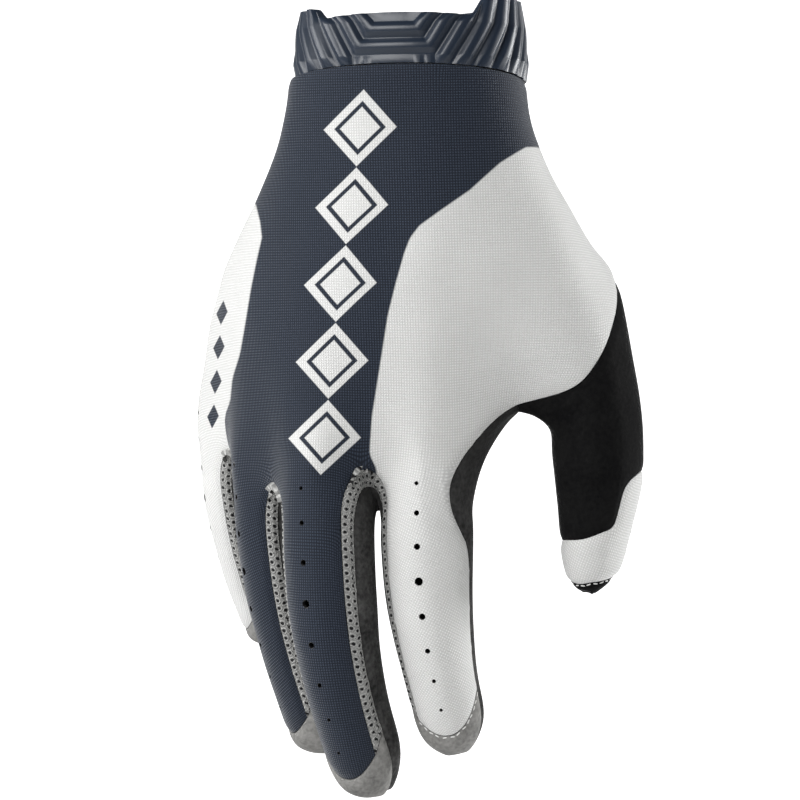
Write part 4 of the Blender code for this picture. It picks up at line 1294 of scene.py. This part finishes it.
# Adds a shader node and sets its plain values
def addNode(material, kind, values=(), **facts):
    node = material.node_tree.nodes.new(kind)
    for name, value in facts.items():
        setattr(node, name, value)
    for place, value in dict(values).items():
        node.inputs[place].default_value = value
    return node


def link(material, source, target):
    material.node_tree.links.new(source, target)


def calculate(material, operation, first, second=None, clamp=False):
    node = addNode(material, "ShaderNodeMath", operation=operation, use_clamp=clamp)
    for place, value in enumerate((first, second)):
        if value is None:
            continue
        if isinstance(value, (int, float)):
            node.inputs[place].default_value = value
        else:
            link(material, value, node.inputs[place])
    return node.outputs[0]


def add(material, first, second, clamp=False):
    return calculate(material, "ADD", first, second, clamp)


def subtract(material, first, second, clamp=False):
    return calculate(material, "SUBTRACT", first, second, clamp)


def multiply(material, first, second, clamp=False):
    return calculate(material, "MULTIPLY", first, second, clamp)


def readAttribute(material, name):
    return addNode(material, "ShaderNodeAttribute", attribute_name=name).outputs["Fac"]


# The height of the point being shaded, in metres
def pointHeight(material):
    coords = addNode(material, "ShaderNodeTexCoord")
    split = addNode(material, "ShaderNodeSeparateXYZ")
    link(material, coords.outputs["Object"], split.inputs[0])
    return split.outputs[2]


def blendColour(material, share, first, second):
    node = addNode(material, "ShaderNodeMix", data_type="RGBA")
    for place, value in ((6, first), (7, second)):
        if isinstance(value, tuple):
            node.inputs[place].default_value = value
        else:
            link(material, value, node.inputs[place])
    if isinstance(share, float):
        node.inputs[0].default_value = share
    else:
        link(material, share, node.inputs[0])
    return node.outputs[2]


def newMaterial(name, roughness, sheen=0.0, sheenRoughness=0.5, specular=0.5):
    material = bpy.data.materials.new(name)
    material.use_nodes = True
    shader = material.node_tree.nodes["Principled BSDF"]
    shader.inputs["Roughness"].default_value = roughness
    shader.inputs["Sheen Weight"].default_value = sheen
    shader.inputs["Sheen Roughness"].default_value = sheenRoughness
    shader.inputs["Specular IOR Level"].default_value = specular
    return material, shader


def placeNoise(material, scale, detail=3.0):
    coords = addNode(material, "ShaderNodeTexCoord")
    texture = addNode(material, "ShaderNodeTexNoise", {"Scale": scale, "Detail": detail})
    link(material, coords.outputs["Object"], texture.inputs["Vector"])
    return texture.outputs["Fac"]


# A lattice of small round loops on the weave map, 1 at each loop's middle
def weaveLattice(material, pitch):
    weave = addNode(material, "ShaderNodeUVMap", uv_map="weave")
    split = addNode(material, "ShaderNodeSeparateXYZ")
    link(material, weave.outputs["UV"], split.inputs[0])
    step = 2.0 * math.pi / pitch
    first = calculate(material, "SINE", multiply(material, split.outputs[0], step))
    second = calculate(material, "SINE", multiply(material, split.outputs[1], step))
    first = add(material, multiply(material, first, 0.5), 0.5)
    second = add(material, multiply(material, second, 0.5), 0.5)
    return multiply(material, first, second)


def addBump(material, shader, height, strength, distance):
    bump = addNode(material, "ShaderNodeBump", {"Strength": strength, "Distance": distance})
    link(material, height, bump.inputs["Height"])
    link(material, bump.outputs["Normal"], shader.inputs["Normal"])


knitValues = {
    "pitch": 0.71,            # size of a loop in millimetres
    "navy": (0.037, 0.052, 0.081, 1.0),
    # The gap colours are the loops' colours darkened: painted shade between the loops
    "navyGapShade": (0.0045, 0.0080, 0.0165, 1.0),
    "white": (0.84, 0.84, 0.83, 1.0),
    "whiteGapShade": (0.60, 0.60, 0.59, 1.0),
    # near black for the walls of the perforations: painted shade inside the holes
    "holeWallShade": (0.002, 0.002, 0.002, 1.0),
    "loops": 1.15,
    "edge": 2.2,              # sharpness of the printed edge
    "fibreScale": 2600.0,
    "fibres": 0.3,
    "patchScale": 60.0,
    "patches": 0.10,
    "relief": 0.00022,
    "strength": 0.6,
    "roughness": 0.7,
    "sheen": 0.40,
    "sheenRoughness": 0.35,
    "specular": 0.25,
}


def knitMaterial(name, printed):
    values = knitValues
    material, shader = newMaterial(name, values["roughness"], values["sheen"], values["sheenRoughness"],
                                   values["specular"])
    lattice = weaveLattice(material, values["pitch"])
    fibres = placeNoise(material, values["fibreScale"])
    patches = placeNoise(material, values["patchScale"])
    height = add(material, lattice, multiply(material, fibres, values["fibres"]))
    addBump(material, shader, height, values["strength"], values["relief"])
    # Darker colour in the gaps of the knit: painted shade between the loops
    loops = multiply(material, lattice, values["loops"], clamp=True)
    colour = blendColour(material, loops, values["whiteGapShade"], values["white"])
    if printed:
        depth = readAttribute(material, "whiteDepth")
        edge = add(material, multiply(material, depth, values["edge"]), 0.5, clamp=True)
        diamonds, marks = printedDiamonds(material)
        white = calculate(material, "MAXIMUM", edge, diamonds)
        white = calculate(material, "MINIMUM", white, subtract(material, 1.0, marks))
        navy = blendColour(material, loops, values["navyGapShade"], values["navy"])
        colour = blendColour(material, white, navy, colour)
    # The walls of the perforations are painted near black: painted shade inside the holes
    colour = blendColour(material, readAttribute(material, "holeWallShade"), colour, values["holeWallShade"])
    shade = multiply(material, patches, values["patches"])
    link(material, blendColour(material, shade, colour, (0.0, 0.0, 0.0, 1.0)), shader.inputs["Base Color"])
    return material


# Ringed diamonds down the back of the hand, in millimetres, and shares of their half width
diamondValues = {"halfWidth": 9.6, "top": 21.0, "period": 19.8, "count": 5,
                 "core": 0.56, "ringIn": 0.68, "ringOut": 1.0, "sharpness": 30.0}
# Small plain diamonds on the white of the outer side
sideMarks = {"across": -31.0, "halfWidth": 2.3, "top": 71.0, "period": 9.0, "count": 4,
             "size": 0.75, "sharpness": 12.0, "off": -99.0}


# How far a point is from the middle of its diamond in a column, and 1 where the column runs
def diamondColumn(material, across, drop, values):
    rows = calculate(material, "DIVIDE", subtract(material, drop, values["top"]), values["period"])
    swing = calculate(material, "ABSOLUTE", subtract(material, calculate(material, "FRACT", rows), 0.5))
    size = calculate(material, "DIVIDE", calculate(material, "ABSOLUTE", across), values["halfWidth"])
    reach = add(material, size, multiply(material, swing, 2.0))
    started = calculate(material, "GREATER_THAN", rows, 0.0)
    ended = calculate(material, "LESS_THAN", rows, float(values["count"]))
    return reach, multiply(material, started, ended)


def sideDiamonds(material, across, drop):
    beside = subtract(material, across, sideMarks["across"])
    reach, runs = diamondColumn(material, beside, drop, sideMarks)
    inside = subtract(material, sideMarks["size"], reach)
    return multiply(material, multiply(material, inside, sideMarks["sharpness"], clamp=True), runs)


# A leaning column of plain diamonds, each with a ring round it
def printedDiamonds(material):
    across = readAttribute(material, "printAcross")
    drop = multiply(material, pointHeight(material), -1000.0)
    reach, runs = diamondColumn(material, across, drop, diamondValues)
    sharpness = diamondValues["sharpness"]
    core = subtract(material, diamondValues["core"], reach)
    core = multiply(material, core, sharpness, clamp=True)
    inner = subtract(material, reach, diamondValues["ringIn"])
    inner = multiply(material, inner, sharpness, clamp=True)
    outer = subtract(material, diamondValues["ringOut"], reach)
    outer = multiply(material, outer, sharpness, clamp=True)
    shape = calculate(material, "MAXIMUM", core, multiply(material, inner, outer))
    return multiply(material, shape, runs), sideDiamonds(material, across, drop)


# Each row gives the suede's colour, the colour of the flecks in its nap, and the drop below which more flecks
# show. On the palm this makes the suede greyer down the fingers, painted rim light on their sides; a drop of
# -9.0 shows all the flecks over the whole piece.
suedeValues = {
    "black": dict(colour=(0.002, 0.002, 0.0023, 1.0), worn=(0.008, 0.008, 0.008, 1.0),
                  sheen=0.55, fuzz=0.16, wornFrom=-9.0),
    # The palm's flecks spread down the fingers and turn them greyer: painted rim light
    "palm": dict(colour=(0.016, 0.016, 0.016, 1.0), worn=(0.095, 0.094, 0.092, 1.0),
                 sheen=0.12, fuzz=0.3, wornFrom=0.112),
    "grey": dict(colour=(0.29, 0.286, 0.275, 1.0), worn=(0.13, 0.129, 0.124, 1.0),
                 sheen=0.15, fuzz=0.3, wornFrom=-9.0),
}
napValues = {"scale": 900.0, "mottleScale": 120.0, "start": 0.36, "contrast": 3.2, "wornSlope": -30.0,
             "leastFlecks": 0.25, "mottle": 0.6, "strength": 0.9, "relief": 0.00030,
             "roughness": 0.9, "specular": 0.1}


def suedeMaterial(name, row):
    material, shader = newMaterial(name, napValues["roughness"], row["sheen"], row["fuzz"],
                                   napValues["specular"])
    nap = placeNoise(material, napValues["scale"], 6.0)
    mottle = placeNoise(material, napValues["mottleScale"], 5.0)
    rough = add(material, multiply(material, mottle, 0.5), multiply(material, nap, 0.5))
    share = subtract(material, rough, napValues["start"])
    share = multiply(material, share, napValues["contrast"], clamp=True)
    # More flecks below the row's drop: on the palm, painted rim light that greys the suede down the fingers
    low = add(material, pointHeight(material), row["wornFrom"])
    low = multiply(material, low, napValues["wornSlope"], clamp=True)
    low = multiply(material, low, 1.0 - napValues["leastFlecks"])
    share = multiply(material, share, add(material, low, napValues["leastFlecks"]))
    link(material, blendColour(material, share, row["colour"], row["worn"]), shader.inputs["Base Color"])
    height = add(material, nap, multiply(material, mottle, napValues["mottle"]))
    addBump(material, shader, height, napValues["strength"], napValues["relief"])
    return material


meshValues = {
    "pitch": 2.1,             # way from one hole to the next in a column, in millimetres
    "column": 0.80,
    "radius": 0.40,
    "colour": (0.36, 0.36, 0.35, 1.0),
    "thread": (0.80, 0.80, 0.78, 1.0),
    "shade": (0.09, 0.09, 0.088, 1.0),
    # near black for the holes: painted shade of the inside seen through them
    "hole": (0.004, 0.004, 0.005, 1.0),
    "ring": 0.28,             # from the hole's edge to the middle of the thread round it
    "ringSharpness": 3.4,
    "holeSharpness": 9.0,
    "wobbleScale": 1300.0,
    "wobble": 0.5,
    "fibreScale": 1500.0,
    "fibres": 0.7,
    "relief": 0.00045,
    "roughness": 0.8,
    "sheen": 0.1,
    "specular": 0.2,
}


# Two staggered columns of holes along the strip, between raised threads; the holes are painted near black,
# painted shade of the inside seen through them
def meshMaterial(name):
    values = meshValues
    material, shader = newMaterial(name, values["roughness"], values["sheen"], 0.5, values["specular"])
    rows = calculate(material, "DIVIDE", readAttribute(material, "stripAlong"), values["pitch"])
    column = calculate(material, "DIVIDE", readAttribute(material, "stripAcross"), 2.0 * values["column"])
    stagger = add(material, rows, multiply(material, calculate(material, "FLOOR", column), 0.5))
    down = subtract(material, calculate(material, "FRACT", stagger), 0.5)
    down = multiply(material, down, values["pitch"])
    beside = subtract(material, calculate(material, "FRACT", column), 0.5)
    beside = multiply(material, beside, 2.0 * values["column"])
    far = add(material, calculate(material, "POWER", down, 2.0), calculate(material, "POWER", beside, 2.0))
    far = calculate(material, "SQRT", far)
    wobble = subtract(material, placeNoise(material, values["wobbleScale"], 4.0), 0.5)
    wobble = multiply(material, wobble, values["wobble"])
    hole = subtract(material, values["radius"], add(material, far, wobble))
    hole = add(material, multiply(material, hole, values["holeSharpness"]), 0.5, clamp=True)
    ring = subtract(material, far, values["radius"] + values["ring"])
    ring = multiply(material, calculate(material, "ABSOLUTE", ring), values["ringSharpness"])
    ring = subtract(material, 1.0, ring, clamp=True)
    fibres = placeNoise(material, values["fibreScale"], 4.0)
    cloth = blendColour(material, ring, values["colour"], values["thread"])
    cloth = blendColour(material, multiply(material, fibres, values["fibres"]), cloth, values["shade"])
    link(material, blendColour(material, hole, cloth, values["hole"]), shader.inputs["Base Color"])
    height = add(material, ring, multiply(material, fibres, 0.5))
    height = subtract(material, height, multiply(material, hole, 1.5))
    addBump(material, shader, height, 1.0, values["relief"])
    return material


rubberValues = {"colour": (0.013, 0.020, 0.034, 1.0), "worn": (0.018, 0.027, 0.044, 1.0),
                "roughness": 0.33, "specular": 0.4, "grainScale": 900.0, "mottleScale": 70.0,
                "strength": 0.25, "relief": 0.00008}


def rubberMaterial(name):
    values = rubberValues
    material, shader = newMaterial(name, values["roughness"], 0.0, 0.5, values["specular"])
    grain = placeNoise(material, values["grainScale"])
    mottle = placeNoise(material, values["mottleScale"])
    colour = blendColour(material, mottle, values["colour"], values["worn"])
    link(material, colour, shader.inputs["Base Color"])
    addBump(material, shader, grain, values["strength"], values["relief"])
    return material


threadValues = {"white": (0.80, 0.80, 0.78, 1.0), "grey": (0.30, 0.295, 0.28, 1.0),
                "shade": (0.05, 0.05, 0.05, 1.0), "fibreScale": 5000.0, "roughness": 0.7, "sheen": 0.2}


def threadMaterial(name, colour):
    material, shader = newMaterial(name, threadValues["roughness"], threadValues["sheen"])
    fibres = multiply(material, placeNoise(material, threadValues["fibreScale"]), 0.3)
    shaded = blendColour(material, fibres, colour, threadValues["shade"])
    link(material, shaded, shader.inputs["Base Color"])
    return material


# Scene

viewValues = {"turn": 35.0, "tilt": -3.0, "distance": 1.5, "frameWidth": 0.208, "sensor": 36.0,
              "across": -0.00286, "drop": -0.1001}


def placeCamera():
    data = bpy.data.cameras.new("camera")
    data.sensor_width = viewValues["sensor"]
    data.lens = viewValues["sensor"] * viewValues["distance"] / viewValues["frameWidth"]
    item = bpy.data.objects.new("camera", data)
    bpy.context.scene.collection.objects.link(item)
    turn = math.radians(viewValues["turn"])
    tilt = math.radians(viewValues["tilt"])
    right = Vector((math.cos(turn), math.sin(turn), 0.0))
    towards = Vector((math.sin(turn) * math.cos(tilt), -math.cos(turn) * math.cos(tilt), math.sin(tilt)))
    target = right * viewValues["across"] + Vector((0.0, 0.0, viewValues["drop"]))
    item.location = target + towards * viewValues["distance"]
    item.rotation_euler = (target - item.location).to_track_quat("-Z", "Y").to_euler()
    bpy.context.scene.camera = item
    return right, towards


floorValues = {"level": -0.50, "half": 2.0, "front": 3.0, "back": 2.6, "radius": 0.5, "height": 1.2,
               "colour": (0.88, 0.88, 0.88, 1.0), "glow": 0.97}


def makeGround():
    data = bpy.data.meshes.new("ground")
    turn = math.radians(viewValues["turn"])
    right = Vector((math.cos(turn), math.sin(turn), 0.0))
    away = Vector((-math.sin(turn), math.cos(turn), 0.0))
    profile = [(-floorValues["front"], 0.0)]
    for count in range(13):
        angle = 0.5 * math.pi * count / 12.0
        profile.append((floorValues["back"] - floorValues["radius"] + floorValues["radius"] * math.sin(angle),
                        floorValues["radius"] * (1.0 - math.cos(angle))))
    profile.append((floorValues["back"], floorValues["height"]))
    points = []
    for far, rise in profile:
        for side in (-floorValues["half"], floorValues["half"]):
            points.append(right * side + away * far + Vector((0.0, 0.0, floorValues["level"] + rise)))
    faces = [(2 * count, 2 * count + 1, 2 * count + 3, 2 * count + 2) for count in range(len(profile) - 1)]
    data.from_pydata(points, [], faces)
    item = linkMesh("ground", data)
    item.data.shade_smooth()
    for name, glow in (("paleFloor", 0.0), ("paleBackdrop", floorValues["glow"])):
        material, shader = newMaterial(name, 0.9)
        shader.inputs["Base Color"].default_value = floorValues["colour"]
        shader.inputs["Emission Color"].default_value = (1.0, 1.0, 1.0, 1.0)
        shader.inputs["Emission Strength"].default_value = glow
        data.materials.append(material)
    for face in data.polygons[1:]:
        face.material_index = 1


worldStrength = 0.06

# Places are metres from the middle of the glove: right, towards the camera and up
lights = {
    "key": dict(right=-1.35, towards=0.35, up=0.50, size=0.7, power=13.0),
    "side": dict(right=-1.40, towards=-0.10, up=0.40, size=0.7, power=5.0),
    "top": dict(right=-0.70, towards=1.20, up=0.90, size=0.7, power=18.0),
    "rim": dict(right=1.20, towards=-0.35, up=0.25, size=0.5, power=14.0),
    "fill": dict(right=1.30, towards=0.30, up=0.30, size=0.5, power=3.5),
}


def placeLights(right, towards):
    centre = Vector((0.0, 0.0, viewValues["drop"]))
    flat = Vector((towards.x, towards.y, 0.0)).normalized()
    for name, row in lights.items():
        data = bpy.data.lights.new(name, "AREA")
        data.size = row["size"]
        data.energy = row["power"]
        item = bpy.data.objects.new(name, data)
        bpy.context.scene.collection.objects.link(item)
        item.location = centre + right * row["right"] + flat * row["towards"] + Vector((0.0, 0.0, row["up"]))
        item.rotation_euler = (centre - item.location).to_track_quat("-Z", "Y").to_euler()
    world = bpy.data.worlds.new("studio")
    world.use_nodes = True
    background = world.node_tree.nodes["Background"]
    background.inputs["Color"].default_value = (1.0, 1.0, 1.0, 1.0)
    background.inputs["Strength"].default_value = worldStrength
    bpy.context.scene.world = world
    bpy.context.scene.view_settings.view_transform = "Standard"


# Stitches: short threads along the seam of a cap, lying on the cap's side of it

stitchValues = {"pitch": 1.9, "length": 1.25, "radius": 0.16, "offset": 0.55, "lift": 0.10}


# The seam between two panels as one chain of points, each with the way towards the second panel
def seamChain(skinItem, first, second):
    data = skinItem.data
    panel = data.attributes["panel"].data
    firstNumber = panelNames.index(first)
    secondNumber = panelNames.index(second)
    beside = {}
    for face in data.polygons:
        number = panel[face.index].value
        if number in (firstNumber, secondNumber):
            for edge in face.edge_keys:
                beside.setdefault(edge, {})[number] = face.center.copy()
    chain = {}
    pulls = {}
    for edge, centres in beside.items():
        if len(centres) == 2:
            pull = centres[secondNumber] - centres[firstNumber]
            for spot, other in (edge, edge[::-1]):
                chain.setdefault(spot, []).append(other)
                pulls[spot] = pulls.get(spot, Vector()) + pull
    ends = [spot for spot, near in chain.items() if len(near) == 1]
    spot = min(ends) if ends else min(chain)
    order = [spot]
    while True:
        ahead = [other for other in chain[order[-1]] if other not in order]
        if not ahead:
            break
        order.append(ahead[0])
    return [(data.vertices[spot].co.copy(), data.vertices[spot].normal.copy(), pulls[spot].normalized())
            for spot in order]


# One thread: a round bar with domed ends, modelled once and copied
def threadShape():
    bpy.ops.object.select_all(action="DESELECT")
    bpy.ops.mesh.primitive_uv_sphere_add(segments=8, ring_count=6, radius=1.0)
    thread = bpy.context.view_layer.objects.active
    for vertex in thread.data.vertices:
        end = math.copysign(1.0, vertex.co.z) if abs(vertex.co.z) > 1e-6 else 0.0
        vertex.co.z = vertex.co.z * 0.6 + end * 0.4
    return thread


def makeStitches(name, skinItem, first, second, material):
    chain = seamChain(skinItem, first, second)
    thread = threadShape()
    work = bmesh.new()
    lengths = [0.0]
    for (start, _, _), (end, _, _) in zip(chain, chain[1:]):
        lengths.append(lengths[-1] + (end - start).length)
    count = int(lengths[-1] * 1000.0 / stitchValues["pitch"])
    place = 0
    for number in range(count):
        goal = (number + 0.5) / count * lengths[-1]
        while place < len(lengths) - 2 and lengths[place + 1] < goal:
            place += 1
        spot, normal, pull = chain[place]
        ahead = (chain[min(place + 1, len(chain) - 1)][0] - chain[max(place - 1, 0)][0]).normalized()
        ahead = (ahead + pull * 0.25 * (1 if number % 2 else -1)).normalized()
        side = normal.cross(ahead).normalized()
        centre = spot + pull * stitchValues["offset"] / 1000.0 + normal * stitchValues["lift"] / 1000.0
        radius = stitchValues["radius"] / 1000.0
        half = 0.5 * stitchValues["length"] / 1000.0
        turn = Matrix((side * radius * 1.25, normal * radius, ahead * half)).transposed().to_4x4()
        before = len(work.verts)
        work.from_mesh(thread.data)
        work.verts.ensure_lookup_table()
        for vertex in work.verts[before:]:
            vertex.co = turn @ vertex.co + centre
    data = bpy.data.meshes.new(name)
    bmesh.ops.recalc_face_normals(work, faces=work.faces)
    work.to_mesh(data)
    work.free()
    bpy.data.objects.remove(thread, do_unlink=True)
    item = linkMesh(name, data)
    item.data.shade_smooth()
    item.data.materials.append(material)
    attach(item, "root")
    return item


def finishPiece(item, node, slotName, material):
    item.data.materials.clear()
    item.data.materials.append(material)
    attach(item, "root")
    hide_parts(node)


def cutPerforations(item, name, digit, rows):
    cutter, places = holeCutter(name + "_cutter", digit, rows)
    cut = item.modifiers.new("perforations", "BOOLEAN")
    cut.operation = "DIFFERENCE"
    cut.solver = "EXACT"
    cut.object = cutter
    applyModifiers(item)
    bpy.data.objects.remove(cutter, do_unlink=True)
    # Marks the faces of each hole's wall, which the knit paints near black as painted shade
    mark = item.data.attributes.get("holeWallShade") or item.data.attributes.new("holeWallShade", "FLOAT", "FACE")
    for face in item.data.polygons:
        for top, outward, radius in places:
            away = face.center - top
            beside = (away - outward * away.dot(outward)).length
            upright = abs(face.normal.dot(outward)) < 0.5
            if upright and beside < radius * holeValues["reveal"] and away.length < 4.0 * wallValues["knit"]:
                mark.data[face.index].value = 1.0


def main():
    digits = makeDigits()
    cage = buildCage(digits)
    spreadCage(cage)
    skinItem = makeSkin(cage)
    print("skin", len(skinItem.data.polygons), "faces")
    easeSeams(skinItem)
    shapeSkin(skinItem)
    seams = seamPoints(skinItem.data)
    materials = {
        "printed_knit": knitMaterial("printedKnit", True),
        "white_knit": knitMaterial("whiteKnit", False),
        "dark_suede": suedeMaterial("blackSuede", suedeValues["black"]),
        "palm_suede": suedeMaterial("palmSuede", suedeValues["palm"]),
        "grey_suede": suedeMaterial("greySuede", suedeValues["grey"]),
        "grey_mesh": meshMaterial("stretchMesh"),
        "moulded_rubber": rubberMaterial("mouldedRubber"),
        "thread": threadMaterial("whiteThread", threadValues["white"]),
        "greyThread": threadMaterial("greyThread", threadValues["grey"]),
    }
    for name, row in panels.items():
        item = partPanel(skinItem, name)
        if name == "back_shell":
            paintBack(item, digits)
        if name.startswith("fourchette"):
            number = panelNames.index(name)
            measureStrip(item, skinItem, name, [row for row in seams if number in row[1]])
        giveWall(item, row["wall"])
        if name == "back_shell":
            for finger in fingerNames:
                cutPerforations(item, finger, digits[finger], holes)
        if name == "thumb_tip":
            cutPerforations(item, "thumb", digits["thumb"], thumbHoles)
        finishPiece(item, name, row["slot"], materials["palm_suede" if name == "palm" else row["slot"]])
        print(name, len(item.data.polygons), "faces")
    for finger in ("index", "middle", "ring", "little"):
        cap = "tip_cap_" + finger
        thread = materials["thread" if finger == "index" else "greyThread"]
        makeStitches("stitches_" + finger, skinItem, "back_shell", cap, thread)
    makeStitches("stitches_thumb", skinItem, "thumb_tip", "thumb_tip_cap", materials["thread"])
    bpy.data.objects.remove(skinItem, do_unlink=True)
    cuff = makeCuff(materials["moulded_rubber"])
    cuff.name = "cuff_moulded"
    finishPiece(cuff, "cuff", "moulded_rubber", materials["moulded_rubber"])
    print("cuff", len(cuff.data.polygons), "faces")
    right, towards = placeCamera()
    placeLights(right, towards)
    makeGround()


main()
